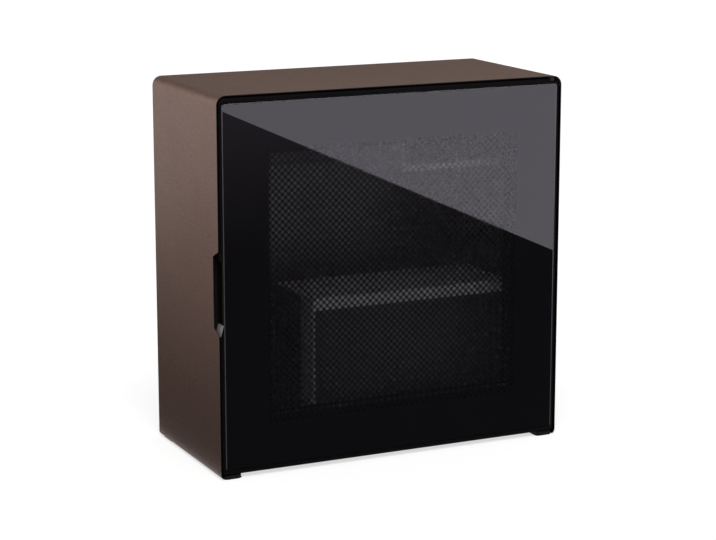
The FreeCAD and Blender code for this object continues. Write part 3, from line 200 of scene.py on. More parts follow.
# Edges rubbed by handling: where the softened normal leaves the true one
rubbing = {"radius": 0.0012, "samples": 4, "flat": 0.995, "sharp": 0.86, "lift": 1.6, "bare": 0.05}


def makeWearGroup():
    group, entry, leave = newGroup(
        "edgeWear",
        [("Radius", "NodeSocketFloat", rubbing["radius"])],
        [("Rubbed", "NodeSocketFloat")],
    )
    soft = group.nodes.new("ShaderNodeBevel")
    soft.samples = rubbing["samples"]
    group.links.new(entry.outputs["Radius"], soft.inputs["Radius"])
    meeting = group.nodes.new("ShaderNodeVectorMath")
    meeting.operation = "DOT_PRODUCT"
    group.links.new(soft.outputs["Normal"], meeting.inputs[0])
    group.links.new(group.nodes.new("ShaderNodeNewGeometry").outputs["Normal"], meeting.inputs[1])
    rubbed = rampBetween(group, meeting.outputs["Value"], rubbing["flat"], rubbing["sharp"])
    group.links.new(rubbed, leave.inputs["Rubbed"])
    return group


grainGroup = makeGrainGroup()
printGroup = makePrintGroup()
wearGroup = makeWearGroup()


def startMaterial(name, roughness, metallic=0.0, specular=0.5):
    material = bpy.data.materials.new(name)
    material.use_nodes = True
    tree = material.node_tree
    shader = tree.nodes["Principled BSDF"]
    setInputs(shader, {"Roughness": roughness, "Metallic": metallic, "Specular IOR Level": specular})
    return material, tree, shader


def grainOf(tree, fineScale, broadScale, stretch=(1.0, 1.0, 1.0)):
    grain = tree.nodes.new("ShaderNodeGroup")
    grain.node_tree = grainGroup
    setInputs(grain, {"Fine Scale": fineScale, "Broad Scale": broadScale, "Stretch": stretch})
    return grain


def scaled(colour, factor):
    return tuple(min(1.0, value * factor) for value in colour)


# Painted shade: the casing's sheet is painted black on its cut front edge and on its inner side next to the
# door, where shade falls
paintedFrontShade = {"edgeDepth": 0.0002, "skin": 0.0006, "topLeft": 0.016, "colour": grey(0.003)}


def paintFrontShade(tree, toned):
    low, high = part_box("outer_casing")
    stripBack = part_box("front_strip")[1].y
    parts = objectParts(tree)
    # mask of the painted shade: the cut front edge, and the inner side forward of the front strip
    cutEdge = mathNode(tree, "LESS_THAN", parts["Y"], low.y + paintedFrontShade["edgeDepth"])
    across = mathNode(tree, "ABSOLUTE", parts["X"])
    inward = mathNode(tree, "LESS_THAN", across, high.x - paintedFrontShade["skin"])
    lower = mathNode(tree, "LESS_THAN", parts["Z"], high.z - paintedFrontShade["topLeft"])
    forward = mathNode(tree, "LESS_THAN", parts["Y"], stripBack)
    behindDoor = mathNode(tree, "MULTIPLY", inward, mathNode(tree, "MULTIPLY", lower, forward))
    return mixColour(tree, mathNode(tree, "MAXIMUM", cutEdge, behindDoor), toned, paintedFrontShade["colour"])


dustColour = (0.45, 0.43, 0.4)


# Paint, plastic or metal: colour and shade drift into each other, the fleck lightens the grain
def coated(name, colour, shade, roughness, metallic=0.0, fineScale=900.0, broadScale=12.0, bump=0.25,
           depth=0.0002, stretch=(1.0, 1.0, 1.0), spread=0.08, fleck=1.35, specular=0.5, rub=0.0, dust=0.0,
           frontShadePainted=False):
    material, tree, shader = startMaterial(name, roughness, metallic, specular)
    grain = grainOf(tree, fineScale, broadScale, stretch)
    drifted = mixColour(tree, grain.outputs["Broad"], colour, shade)
    pebbles = rampBetween(tree, grain.outputs["Pebble"], grainLook["pebbleFrom"], grainLook["pebbleTo"])
    pebbled = mixColour(tree, pebbles, drifted, scaled(colour, fleck))
    pinheads = rampBetween(tree, grain.outputs["Fine"], grainLook["fineFrom"], grainLook["fineTo"], 0.0,
                           grainLook["fineStrength"])
    toned = mixColour(tree, pinheads, pebbled, scaled(colour, fleck))
    if rub:
        wear = tree.nodes.new("ShaderNodeGroup")
        wear.node_tree = wearGroup
        edge = mathNode(tree, "MULTIPLY", wear.outputs["Rubbed"], grain.outputs["Pebble"])
        toned = mixColour(tree, mathNode(tree, "MULTIPLY", edge, rub), toned,
                          tuple(value * rubbing["lift"] + rubbing["bare"] for value in colour))
    # painted shade on the casing's front edge and inner side
    if frontShadePainted:
        toned = paintFrontShade(tree, toned)
    if dust:
        toned = mixColour(tree, mathNode(tree, "MULTIPLY", grain.outputs["Dust"], dust), toned, dustColour)
    tree.links.new(toned, shader.inputs["Base Color"])
    gloss = rampBetween(tree, grain.outputs["Broad"], 0.0, 1.0, roughness - spread, roughness + spread)
    tree.links.new(gloss, shader.inputs["Roughness"])
    relief = tree.nodes.new("ShaderNodeBump")
    setInputs(relief, {"Strength": bump, "Distance": depth})
    height = mathNode(tree, "ADD", grain.outputs["Fine"], grain.outputs["Pebble"])
    tree.links.new(height, relief.inputs["Height"])
    tree.links.new(relief.outputs["Normal"], shader.inputs["Normal"])
    return material


finishes = {
    # the casing's coat carries painted shade at its front edge and inner side
    "bronze_powder_coat": coated(
        "bronzePowderCoat", (0.091, 0.0555, 0.044), (0.087, 0.0525, 0.042), 0.42, metallic=0.45,
        fineScale=1150.0, broadScale=4.0, bump=0.55, depth=0.0003, spread=0.03, fleck=1.8, specular=0.25,
        frontShadePainted=True),
    "black_steel": coated(
        "blackSteel", (0.008, 0.008, 0.0085), (0.012, 0.0115, 0.0115), 0.5, fineScale=1200.0, rub=0.15,
        specular=0.2),
    "black_rubber": coated(
        "blackRubber", grey(0.005), (0.009, 0.0085, 0.0085), 0.75, fineScale=700.0, specular=0.1),
    "grey_steel": coated(
        "zincSheet", (0.40, 0.41, 0.42), (0.36, 0.37, 0.38), 0.45, metallic=0.7, fineScale=420.0,
        broadScale=90.0, bump=0.08, spread=0.05, fleck=1.12, rub=0.5),
    "black_plastic": coated(
        "blackPlastic", (0.003, 0.003, 0.0033), (0.0045, 0.0043, 0.0047), 0.62, fineScale=1600.0, bump=0.12,
        specular=0.04),
    "dark_plastic": coated(
        "darkPlastic", (0.026, 0.025, 0.027), (0.033, 0.032, 0.034), 0.45, fineScale=1100.0),
    "insulation_foam": coated(
        "insulationFoam", (0.60, 0.49, 0.31), (0.55, 0.44, 0.27), 0.85, fineScale=420.0, bump=0.6,
        depth=0.0006, fleck=1.08),
    "black_spacer": coated(
        "spacerBar", (0.020, 0.020, 0.021), (0.030, 0.030, 0.031), 0.4, fineScale=900.0),
    "gasket_rubber": coated(
        "gasketRubber", (0.022, 0.022, 0.023), (0.034, 0.033, 0.033), 0.6, fineScale=600.0, dust=0.2),
    "bright_steel": coated(
        "brightSteel", (0.62, 0.61, 0.60), (0.48, 0.47, 0.46), 0.3, metallic=1.0, fineScale=800.0,
        stretch=(1.0, 0.1, 1.0), bump=0.08, fleck=1.1),
    "bush_plastic": coated(
        "bushPlastic", (0.70, 0.68, 0.62), (0.60, 0.58, 0.52), 0.45, fineScale=900.0, fleck=1.1),
    "shelf_coat": coated(
        "shelfCoat", (0.58, 0.58, 0.60), (0.50, 0.50, 0.52), 0.35, fineScale=1200.0, fleck=1.1),
    "evaporator_aluminium": coated(
        "evaporatorSheet", (0.19, 0.194, 0.20), (0.16, 0.164, 0.17), 0.4, metallic=0.8, fineScale=500.0,
        stretch=(0.05, 1.0, 1.0), bump=0.12, fleck=1.1),
    "dial_plastic": coated(
        "dialPlastic", (0.62, 0.62, 0.60), (0.52, 0.52, 0.50), 0.4, fineScale=900.0, fleck=1.1),
    "frosted_lens": coated(
        "frostedLens", (0.75, 0.76, 0.78), (0.66, 0.67, 0.69), 0.5, fineScale=1400.0, bump=0.4, fleck=1.1),
    "black_enamel": coated(
        "blackEnamel", (0.012, 0.012, 0.013), (0.020, 0.020, 0.021), 0.35, fineScale=500.0, dust=0.3),
    "compressor_enamel": coated(
        "compressorEnamel", (0.014, 0.014, 0.015), (0.028, 0.027, 0.026), 0.4, fineScale=420.0, bump=0.3,
        rub=0.4, dust=0.3),
    "copper": coated(
        "copperPipe", (0.72, 0.33, 0.18), (0.34, 0.16, 0.09), 0.32, metallic=1.0, fineScale=300.0,
        broadScale=40.0, bump=0.08, spread=0.12, fleck=1.15),
}
# painted shade: the dark colour of a screw's cross stands in for the shade in its recess
paintedRecessShade = coated("paintedCrossShade", grey(0.010), grey(0.016), 0.7)
groundEdge = coated("groundGlassEdge", (0.003, 0.003, 0.0033), (0.002, 0.002, 0.0022), 0.4,
                    fineScale=1500.0, bump=0.1, specular=0.05)
# painted highlight: light grey standing in for the reflection the black plastic slope catches
paintedScoopHighlight = coated("paintedScoopHighlight", (0.15, 0.15, 0.155), (0.12, 0.12, 0.125), 0.35, fineScale=1500.0,
                    bump=0.1, fleck=1.2)
# painted highlight: a light band standing in for the glint of the glass's polished edge
paintedEdgeHighlight = coated("paintedGlassHighlight", (0.054, 0.052, 0.057), (0.044, 0.042, 0.046), 0.3,
                      fineScale=1500.0, bump=0.1, fleck=1.2)

# Glass bends light little here, so that nearly all it mirrors is in the gloss of its outer face
glassLook = {"fineScale": 60.0, "broadScale": 5.0, "wiped": 0.96, "coatIndex": 1.5, "coatRoughness": 0.006,
             "smoothest": 0.004, "roughest": 0.012, "printFine": 900.0, "printBroad": 10.0}


def polishedRoughness(tree, grain, shader):
    roughness = rampBetween(tree, grain.outputs["Broad"], 0.0, 1.0, glassLook["smoothest"],
                            glassLook["roughest"])
    tree.links.new(roughness, shader.inputs["Roughness"])


def glassMaterial(name, tint, index, gloss=0.0):
    material, tree, shader = startMaterial(name, 0.0)
    setInputs(shader, {"Transmission Weight": 1.0, "IOR": index, "Coat Weight": gloss,
                       "Coat IOR": glassLook["coatIndex"], "Coat Roughness": glassLook["coatRoughness"]})
    grain = grainOf(tree, glassLook["fineScale"], glassLook["broadScale"])
    wiped = mixColour(tree, grain.outputs["Broad"], tint, scaled(tint, glassLook["wiped"]))
    tree.links.new(wiped, shader.inputs["Base Color"])
    polishedRoughness(tree, grain, shader)
    return material


finishes["tinted_glass"] = glassMaterial("tintedGlass", (0.41, 0.41, 0.43), 1.05, gloss=1.0)
paneBack = glassMaterial("tintedGlassBack", grey(1.0), 1.05)
finishes["clear_glass"] = glassMaterial("clearGlass", (0.9, 0.92, 0.92), 1.12)


def printMaterial():
    material, tree, shader = startMaterial("glassPrint", glassLook["coatRoughness"])
    grain = grainOf(tree, glassLook["printFine"], glassLook["printBroad"])
    ink = mixColour(tree, grain.outputs["Broad"], (0.0014, 0.0012, 0.0015), (0.002, 0.0018, 0.0022))
    tree.links.new(ink, shader.inputs["Base Color"])
    polishedRoughness(tree, grain, shader)
    dots = tree.nodes.new("ShaderNodeGroup")
    dots.node_tree = printGroup
    tree.links.new(dots.outputs["Print"], shader.inputs["Alpha"])
    return material


# Two nodes are darker or lighter than the plastic whose slot they share
stripBlack = coated("stripBlack", (0.006, 0.006, 0.0065), (0.009, 0.009, 0.0095), 0.6, fineScale=1100.0,
                    specular=0.2)
linerDark = coated("linerDark", (0.120, 0.116, 0.126), (0.100, 0.096, 0.106), 0.5, fineScale=1100.0,
                   specular=0.3, fleck=1.2)
ownFinish = {"front_strip": stripBlack, "inner_liner": linerDark}
for name, node in nodes.items():
    node.data.materials.clear()
    node.data.materials.append(ownFinish.get(name, finishes[slotOf[name]]))
print("finishes on", len(nodes), "nodes")


# Mesh helpers

closeness = {"weld": 0.000002, "cut": 0.000001, "samePoint": 0.00001, "level": 0.0001, "along": 0.001}


# How far an edge runs along X, Y or Z, given as 0, 1 or 2
def runOf(edge, axis):
    return abs(edge.verts[0].co[axis] - edge.verts[1].co[axis])


# Where both ends of an edge lie along X, Y or Z
def endsOf(edge, axis):
    return [end.co[axis] for end in edge.verts]


def addObject(name, data):
    thing = bpy.data.objects.new(name, data)
    bpy.context.scene.collection.objects.link(thing)
    return thing


def bevelWhere(mesh, wanted, offset, segments):
    rims = [edge for edge in mesh.edges if wanted(edge)]
    bmesh.ops.bevel(mesh, geom=rims, offset=offset, segments=segments, profile=0.5, affect="EDGES",
                    material=-1, clamp_overlap=True)


def addBox(mesh, low, high, bevel=0.0, segments=2):
    low, high = Vector(low), Vector(high)
    size = Matrix.Diagonal((*(high - low), 1.0))
    made = bmesh.ops.create_cube(mesh, size=1.0, matrix=Matrix.Translation((low + high) / 2) @ size)
    if bevel:
        fresh = set(made["verts"])
        bevelWhere(mesh, lambda edge: fresh.issuperset(edge.verts), bevel, segments)


# A turned form from radius and height pairs, about Z at the place or about the turned axis
def addTurned(mesh, profile, place, turn=Matrix(), steps=32):
    matrix = Matrix.Translation(place) @ turn
    points = [mesh.verts.new(matrix @ Vector((radius, 0.0, height))) for radius, height in profile]
    lines = [mesh.edges.new(pair) for pair in zip(points, points[1:])]
    axis = turn.to_3x3() @ Vector((0.0, 0.0, 1.0))
    bmesh.ops.spin(mesh, geom=points + lines, cent=Vector(place), axis=axis, dvec=(0.0, 0.0, 0.0),
                   angle=math.tau, steps=steps, use_merge=True, use_duplicate=False)


# A path of square corners, each rounded by its bend
def roundedPath(corners, bend, closed=False, steps=8):
    corners = [Vector(corner) for corner in corners]
    points = []
    for number, corner in enumerate(corners):
        if not closed and number in (0, len(corners) - 1):
            points.append(corner)
            continue
        reach = bend[number] if isinstance(bend, list) else bend
        back = (corners[number - 1] - corner).normalized()
        ahead = (corners[(number + 1) % len(corners)] - corner).normalized()
        middle = corner + (back + ahead) * reach
        for step in range(steps + 1):
            angle = math.pi / 2 * step / steps
            point = middle - ahead * (reach * math.cos(angle)) - back * (reach * math.sin(angle))
            if not points or (points[-1] - point).length > closeness["samePoint"]:
                points.append(point)
    return points


def addTube(mesh, points, radius, closed=False, resolution=3, matrix=Matrix()):
    curve = bpy.data.curves.new("path", "CURVE")
    curve.dimensions = "3D"
    curve.bevel_depth = radius
    curve.bevel_resolution = resolution
    curve.use_fill_caps = not closed
    spline = curve.splines.new("POLY")
    spline.points.add(len(points) - 1)
    for place, point in zip(points, spline.points):
        point.co = (*place, 1.0)
    spline.use_cyclic_u = closed
    holder = bpy.data.objects.new("path", curve)
    data = bpy.data.meshes.new_from_object(holder)
    data.transform(matrix)
    mesh.from_mesh(data)
    bpy.data.objects.remove(holder)
    bpy.data.curves.remove(curve)
    bpy.data.meshes.remove(data)


# Faces made since the last call take this material number
def markFaces(mesh, number):
    for face in mesh.faces:
        if not face.tag:
            face.material_index = number
            face.tag = True


def finishPiece(name, mesh, body, slotName, replaced=None, materials=(), crease=0.6):
    bmesh.ops.remove_doubles(mesh, verts=mesh.verts, dist=closeness["weld"])
    bmesh.ops.recalc_face_normals(mesh, faces=mesh.faces)
    for face in mesh.faces:
        face.smooth = True
    for edge in mesh.edges:
        edge.smooth = edge.calc_face_angle(0.0) < crease
    data = bpy.data.meshes.new(name)
    mesh.to_mesh(data)
    mesh.free()
    piece = addObject(name, data)
    for material in materials or (finishes[slotName],):
        data.materials.append(material)
    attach(piece, body)
    if replaced:
        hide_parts(replaced)


towardBack = Matrix.Rotation(math.radians(-90), 4, "X")
towardFront = Matrix.Rotation(math.radians(90), 4, "X")

# Front pane: ground rim, a band along both sides painted light as the highlight of a polished edge, and the
# glossy black print over its front face
pane = {"corner": 0.005, "cornerSteps": 6, "rim": 0.0004, "printFront": 0.00002, "printDepth": 0.00012,
        "printInset": 0.002, "lineFrom": 0.0004, "lineTo": 0.0019, "flatNormal": 0.98, "crease": 0.2}
paneFaces = {"front": 0, "ground": 1, "line": 2, "back": 3}


def frontPane():
    low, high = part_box("front_glass")
    mesh = bmesh.new()
    front = low.y + pane["printDepth"]
    addBox(mesh, (low.x, front, low.z), high)
    bevelWhere(mesh, lambda edge: runOf(edge, 1) > closeness["along"], pane["corner"], pane["cornerSteps"])
    bevelWhere(mesh, lambda edge: max(endsOf(edge, 1)) < front + closeness["level"], pane["rim"], 1)
    # a band down both sides of the front face is painted light, as the highlight of a polished edge
    for inset in (pane["lineFrom"], pane["lineTo"]):
        for x in (low.x + inset, high.x - inset):
            bmesh.ops.bisect_plane(mesh, geom=mesh.verts[:] + mesh.edges[:] + mesh.faces[:],
                                   dist=closeness["cut"], plane_co=(x, 0.0, 0.0), plane_no=(1.0, 0.0, 0.0))
    mesh.normal_update()
    for face in mesh.faces:
        toEdge = high.x - abs(face.calc_center_median().x)
        if abs(face.normal.y) < pane["flatNormal"]:
            face.material_index = paneFaces["ground"]
        elif face.normal.y > 0.0:
            face.material_index = paneFaces["back"]
        # the light band on the flat front face is a painted highlight
        elif pane["lineFrom"] < toEdge < pane["lineTo"]:
            face.material_index = paneFaces["line"]
        else:
            face.material_index = paneFaces["front"]
    finishPiece("front_pane", mesh, "door", "tinted_glass", "front_glass",
                (finishes["tinted_glass"], groundEdge, paintedEdgeHighlight, paneBack), pane["crease"])


def glassPrint():
    low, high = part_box("front_glass")
    sheet = bmesh.new()
    inset = pane["printInset"] * 2
    middle = Vector(((low.x + high.x) / 2, low.y + pane["printFront"], (low.z + high.z) / 2))
    size = Matrix.Diagonal((high.x - low.x - inset, high.z - low.z - inset, 1.0, 1.0))
    bmesh.ops.create_grid(sheet, x_segments=1, y_segments=1, size=0.5,
                          matrix=Matrix.Translation(middle) @ towardFront @ size)
    finishPiece("glass_print", sheet, "door", "tinted_glass", materials=(printMaterial(),))


frontPane()
glassPrint()
print("front pane and print made")

# A thin facet at the sloped lower end of the finger scoop, painted light grey as the highlight its black
# plastic catches, and the soft-edged front feet
scoop = {"flare": 0.016, "depth": 0.0215, "sheet": 0.00016, "gap": 0.0003}
foot = {"corner": 0.006, "cornerSteps": 5, "edge": 0.0012}


def scoopFacets():
    mesh = bmesh.new()
    frameLow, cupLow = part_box("door_frame")[0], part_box("finger_cup")[0]
    start = Vector((frameLow.x, 0.0, cupLow.z - scoop["flare"]))
    end = Vector((cupLow.x, 0.0, cupLow.z))
    slope = math.atan2(end.z - start.z, end.x - start.x)
    middle = (start + end) / 2 + Vector((0.0, frameLow.y + scoop["depth"] / 2 + scoop["gap"], 0.0))
    turn = Matrix.Rotation(-slope, 4, "Y")
    size = Matrix.Diagonal(((end - start).length, scoop["depth"] - scoop["gap"] * 2, scoop["sheet"], 1.0))
    bmesh.ops.create_cube(mesh, size=1.0, matrix=Matrix.Translation(middle) @ turn @ size)
    # the facet is a thin sheet painted light grey as a highlight
    finishPiece("scoop_facets", mesh, "door", "black_plastic", materials=(paintedScoopHighlight,))


def frontFeet():
    for node in ("front_foot_left", "front_foot_right"):
        mesh = bmesh.new()
        low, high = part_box(node)
        addBox(mesh, low, high)
        bevelWhere(mesh, lambda edge: runOf(edge, 2) > closeness["along"], foot["corner"],
                   foot["cornerSteps"])
        bevelWhere(mesh, lambda edge: max(endsOf(edge, 2)) < low.z + closeness["level"], foot["edge"], 2)
        finishPiece(node + "_pad", mesh, "cabinet", "black_rubber", node)


scoopFacets()
frontFeet()
print("scoop facets and feet made")

# Rear grille: a wound tube with wires welded to both of its sides
condenser = {"runs": 9, "tube": 0.0024, "endBend": 0.008, "wires": 20, "wire": 0.0008, "wireSides": 8,
             "overhang": 0.008, "pastWires": 0.015, "crease": 1.2}


def condenserCoil():
    size = condenser
    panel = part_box("back_panel")[1].y
    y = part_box("condenser_tube")[1].y - size["tube"]
    low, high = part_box("condenser_wires")
    end = high.x - size["wire"] + size["pastWires"]
    bottom, top = low.z + size["overhang"], high.z - size["overhang"]
    pitch = (top - bottom) / (size["runs"] - 1)
    corners = [(-end, panel, bottom), (-end, y, bottom)]
    bends = [0.0, size["endBend"]]
    side = 1
    for number in range(size["runs"] - 1):
        level = bottom + pitch * number
        reach = (end + pitch / 2) * side
        corners += [(reach, y, level), (reach, y, level + pitch)]
        bends += [pitch / 2] * 2
        side = -side
    corners += [(end * side, y, top), (end * side, panel, top)]
    bends += [size["endBend"], 0.0]
    mesh = bmesh.new()
    addTube(mesh, roundedPath(corners, bends), size["tube"])
    finishPiece("condenser_coil", mesh, "cabinet", "black_enamel", "condenser_tube")


def condenserRods():
    size = condenser
    mesh = bmesh.new()
    low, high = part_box("condenser_wires")
    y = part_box("condenser_tube")[1].y - size["tube"]
    lastWire = high.x - size["wire"]
    pitch = lastWire * 2 / (size["wires"] - 1)
    away = size["tube"] + size["wire"]
    for number in range(size["wires"]):
        for offset in (-away, away):
            place = Matrix.Translation((pitch * number - lastWire, y + offset, (low.z + high.z) / 2))
            bmesh.ops.create_cone(mesh, cap_ends=True, segments=size["wireSides"], radius1=size["wire"],
                                  radius2=size["wire"], depth=high.z - low.z, matrix=place)
    finishPiece("condenser_rods", mesh, "cabinet", "black_enamel", "condenser_wires",
                crease=size["crease"])


condenserCoil()
condenserRods()
print("condenser made")

# Pressed hoods over the slots of the rear cover
louvre = {"fromLeft": 0.024, "fromBottom": 0.0322, "length": 0.084, "height": 0.005, "pitchX": 0.104,
          "pitchZ": 0.014, "columns": 3, "rows": 11, "rise": 0.0023, "lap": 0.0022, "lapSide": 0.001,
          "lapTop": 0.0016, "near": 0.0002, "bevel": 0.0012, "bevelSteps": 3}


def louvreHoods():
    mesh = bmesh.new()
    coverLow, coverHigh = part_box("machine_cover")
    size, face = louvre, coverHigh.y
    firstX, firstZ = coverLow.x + size["fromLeft"], coverLow.z + size["fromBottom"]
    for column in range(size["columns"]):
        for row in range(size["rows"]):
            x = firstX + size["pitchX"] * column
            z = firstZ + size["pitchZ"] * row
            low = (x - size["lapSide"], face, z + size["lap"])
            high = (x + size["length"] + size["lapSide"], face + size["rise"],
                    z + size["height"] + size["lapTop"])
            addBox(mesh, low, high)

    def atLowerLip(height):
        return (height - firstZ) % size["pitchZ"] < size["lap"] + size["near"]

    def outerRim(edge):
        standsOut = min(endsOf(edge, 1)) > face + closeness["level"]
        return standsOut and not all(atLowerLip(height) for height in endsOf(edge, 2))

    bevelWhere(mesh, outerRim, size["bevel"], size["bevelSteps"])
    finishPiece("louvre_hoods", mesh, "cabinet", "grey_steel")


louvreHoods()

# Rolled bead that stiffens the rear panel behind the grille
panelBead = {"fromSide": 0.0366, "fromTop": 0.0226, "overCover": 0.008, "corner": 0.018, "radius": 0.0016}


def panelBeads():
    mesh = bmesh.new()
    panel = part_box("back_panel")[1]
    x, face = panel.x - panelBead["fromSide"], panel.y
    low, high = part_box("machine_cover")[1].z + panelBead["overCover"], panel.z - panelBead["fromTop"]
    ring = roundedPath([(-x, face, low), (x, face, low), (x, face, high), (-x, face, high)],
                       panelBead["corner"], closed=True)
    addTube(mesh, ring, panelBead["radius"], closed=True)
    finishPiece("panel_bead", mesh, "cabinet", "grey_steel")


panelBeads()
print("rear cover hoods and panel bead made")

# Pan head screws, each with a cross painted dark as the shade of its recess; the outline gives shares of
# the head's radius and height
screwHead = {"radius": 0.0025, "height": 0.0016, "slotLength": 0.0026, "slotWidth": 0.0005,
             "crossDepth": 0.0004, "steps": 20, "panelMiddle": 0.277, "hingeInset": 0.0021,
             "hingePair": 0.0068,
             "outline": [(0.0, 0.0), (1.0, 0.0), (1.0, 0.35), (0.86, 0.7), (0.55, 0.93), (0.0, 0.98)]}


# The way the heads of a node stand and their places across and up
def screwPlaces(node):
    low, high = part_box(node)
    left, right = low.x + screwHead["radius"], high.x - screwHead["radius"]
    bottom, top = low.z + screwHead["radius"], high.z - screwHead["radius"]
    if node == "panel_screws":
        return towardBack, [(x, z) for z in (bottom, screwHead["panelMiddle"], top) for x in (left, right)]
    if node == "cover_screws":
        return towardBack, [(left, top), (right, top), (right, bottom)]
    first, last = low.z + screwHead["hingeInset"], high.z - screwHead["hingeInset"]
    heights = (first, first + screwHead["hingePair"], last - screwHead["hingePair"], last)
    return towardFront, [((left + right) / 2, z) for z in heights]


def screws():
    size = screwHead
    profile = [(size["radius"] * across, size["height"] * up) for across, up in size["outline"]]
    halfLength, halfWidth = size["slotLength"] / 2, size["slotWidth"] / 2
    for node in ("panel_screws", "cover_screws", "hinge_screws"):
        turn, places = screwPlaces(node)
        mesh = bmesh.new()
        low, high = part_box(node)
        atRear = turn is towardBack
        start = low.y if atRear else high.y
        for x, z in places:
            addTurned(mesh, profile, (x, start, z), turn, size["steps"])
        markFaces(mesh, 0)
        outer = start + (size["height"] if atRear else -size["height"])
        inner = outer - (size["crossDepth"] if atRear else -size["crossDepth"])
        # each cross is a block at the top of the head, painted dark as the shade of a recess
        for x, z in places:
            for halfX, halfZ in ((halfLength, halfWidth), (halfWidth, halfLength)):
                addBox(mesh, (x - halfX, min(inner, outer), z - halfZ),
                       (x + halfX, max(inner, outer), z + halfZ))
        markFaces(mesh, 1)
        finishPiece(node.replace("_screws", "_pan_heads"), mesh, "cabinet", slotOf[node], node,
                    (finishes[slotOf[node]], paintedRecessShade))


screws()
print("screws made")

# Door gasket: three bellows on a flat foot
gasket = {"fold": 0.0019, "insets": (0.0019, 0.0060, 0.0101), "corner": 0.012, "leastBend": 0.002,
          "foot": 0.0011, "width": 0.012, "edge": 0.0005, "crease": 0.9}


def gasketPiece():
    mesh = bmesh.new()
    low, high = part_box("door_gasket")
    middle = (low.y + high.y) / 2
    for inset in gasket["insets"]:
        x, bottom, top = high.x - inset, low.z + inset, high.z - inset
        ring = roundedPath([(-x, middle, bottom), (x, middle, bottom), (x, middle, top), (-x, middle, top)],
                           max(gasket["corner"] - inset, gasket["leastBend"]), closed=True, steps=6)
        addTube(mesh, ring, gasket["fold"], closed=True)
    edge, width = gasket["edge"], gasket["width"] - gasket["edge"]
    for left, right, bottom, top in (
            (low.x + edge, high.x - edge, low.z + edge, low.z + width),
            (low.x + edge, high.x - edge, high.z - width, high.z - edge),
            (low.x + edge, low.x + width, low.z + edge, high.z - edge),
            (high.x - width, high.x - edge, low.z + edge, high.z - edge)):
        addBox(mesh, (left, low.y, bottom), (right, low.y + gasket["foot"], top))
    finishPiece("gasket_bellows", mesh, "door", "gasket_rubber", "door_gasket", crease=gasket["crease"])


gasketPiece()
print("gasket made")

# Evaporator: one pressed sheet with a raised channel that winds up it, held by four riveted bosses
evaporator = {"margin": 0.014, "channel": 0.009, "bend": 0.009, "rows": 6, "rise": 0.0012, "sheet": 0.0016,
              "edge": 0.0005, "boss": 0.006, "sink": 0.0002,
              "rivet": [(0.0, 0.0009), (0.0018, 0.0008), (0.003, 0.0), (0.003, -0.0003), (0.0, -0.0003)]}


def evaporatorPiece():
    mesh = bmesh.new()
    low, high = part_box("evaporator_plate")
    size = evaporator
    front = low.y + size["rise"]
    addBox(mesh, (low.x, front, low.z), (high.x, front + size["sheet"], high.z), size["edge"], 2)
    left = low.x + size["margin"] + size["channel"] / 2
    right = high.x - size["margin"] - size["channel"] / 2
    bottom = low.z + size["margin"] + size["channel"] / 2
    top = high.z - size["margin"] - size["channel"] / 2
    pitch = (top - bottom) / (size["rows"] - 1)
    corners = [(left, 0.0, bottom)]
    for number in range(size["rows"] - 1):
        x = right if number % 2 == 0 else left
        corners += [(x, 0.0, bottom + pitch * number), (x, 0.0, bottom + pitch * (number + 1))]
    corners.append((right if size["rows"] % 2 else left, 0.0, top))
    flatten = Matrix.Diagonal((1.0, size["rise"] / size["channel"] * 2, 1.0, 1.0))
    addTube(mesh, roundedPath(corners, size["bend"]), size["channel"] / 2, resolution=4,
            matrix=Matrix.Translation((0.0, front, 0.0)) @ flatten)
    start = front + size["sheet"] - size["sink"]
    boss = [(0.0, 0.0), (size["boss"], 0.0), (size["boss"], high.y - start), (0.0, high.y - start)]
    for x in (low.x + size["margin"] / 2, high.x - size["margin"] / 2):
        for z in (low.z + size["margin"] / 2, high.z - size["margin"] / 2):
            addTurned(mesh, boss, (x, start, z), towardBack, 24)
            addTurned(mesh, size["rivet"], (x, front, z), towardFront, 20)
    finishPiece("evaporator_sheet", mesh, "cabinet", "evaporator_aluminium", "evaporator_plate")


evaporatorPiece()

# Ribs moulded on the shelves, on the lamp lens, and the scale round the dial
shelfRib = {"height": 0.0008, "width": 0.0016, "pitch": 0.016, "inset": 0.012, "front": 0.010,
            "sink": 0.0001, "edge": 0.0004, "lip": 0.010}


def shelfRibs():
    for node in ("lower_shelf", "upper_shelf"):
        mesh = bmesh.new()
        low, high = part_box(node)
        # the lower tray is its shelf's highest face, the upper one hangs and has only its lip below it
        tray = high.z if node == "lower_shelf" else low.z + shelfRib["lip"]
        count = int((high.x - low.x - shelfRib["inset"] * 2) / shelfRib["pitch"])
        for number in range(count + 1):
            x = low.x + shelfRib["inset"] + shelfRib["pitch"] * number
            addBox(mesh, (x, low.y + shelfRib["front"], tray - shelfRib["sink"]),
                   (x + shelfRib["width"], high.y - shelfRib["front"], tray + shelfRib["height"]),
                   shelfRib["edge"], 1)
        finishPiece(node + "_ribs", mesh, "cabinet", "shelf_coat")


lensRib = {"count": 13, "height": 0.0007, "corner": 0.003, "endGap": 0.006, "sideGap": 0.004, "swell": 1.4,
           "share": 0.42}


def lampLens():
    mesh = bmesh.new()
    low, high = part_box("lamp_lens")
    addBox(mesh, (low.x, low.y, low.z + lensRib["height"]), high, lensRib["corner"], 4)
    pitch = (high.x - low.x - lensRib["endGap"] * 2) / (lensRib["count"] - 1)
    depth = lensRib["height"] * lensRib["swell"]
    halfWidth = (high.y - low.y) / 2 - lensRib["sideGap"]
    for number in range(lensRib["count"]):
        x = low.x + lensRib["endGap"] + pitch * number
        ridge = Matrix.Translation((x, (low.y + high.y) / 2, low.z + depth))
        size = Matrix.Diagonal((pitch * lensRib["share"], halfWidth, depth, 1.0))
        bmesh.ops.create_uvsphere(mesh, u_segments=12, v_segments=8, radius=1.0, matrix=ridge @ size)
    finishPiece("ribbed_lens", mesh, "cabinet", "frosted_lens", "lamp_lens")


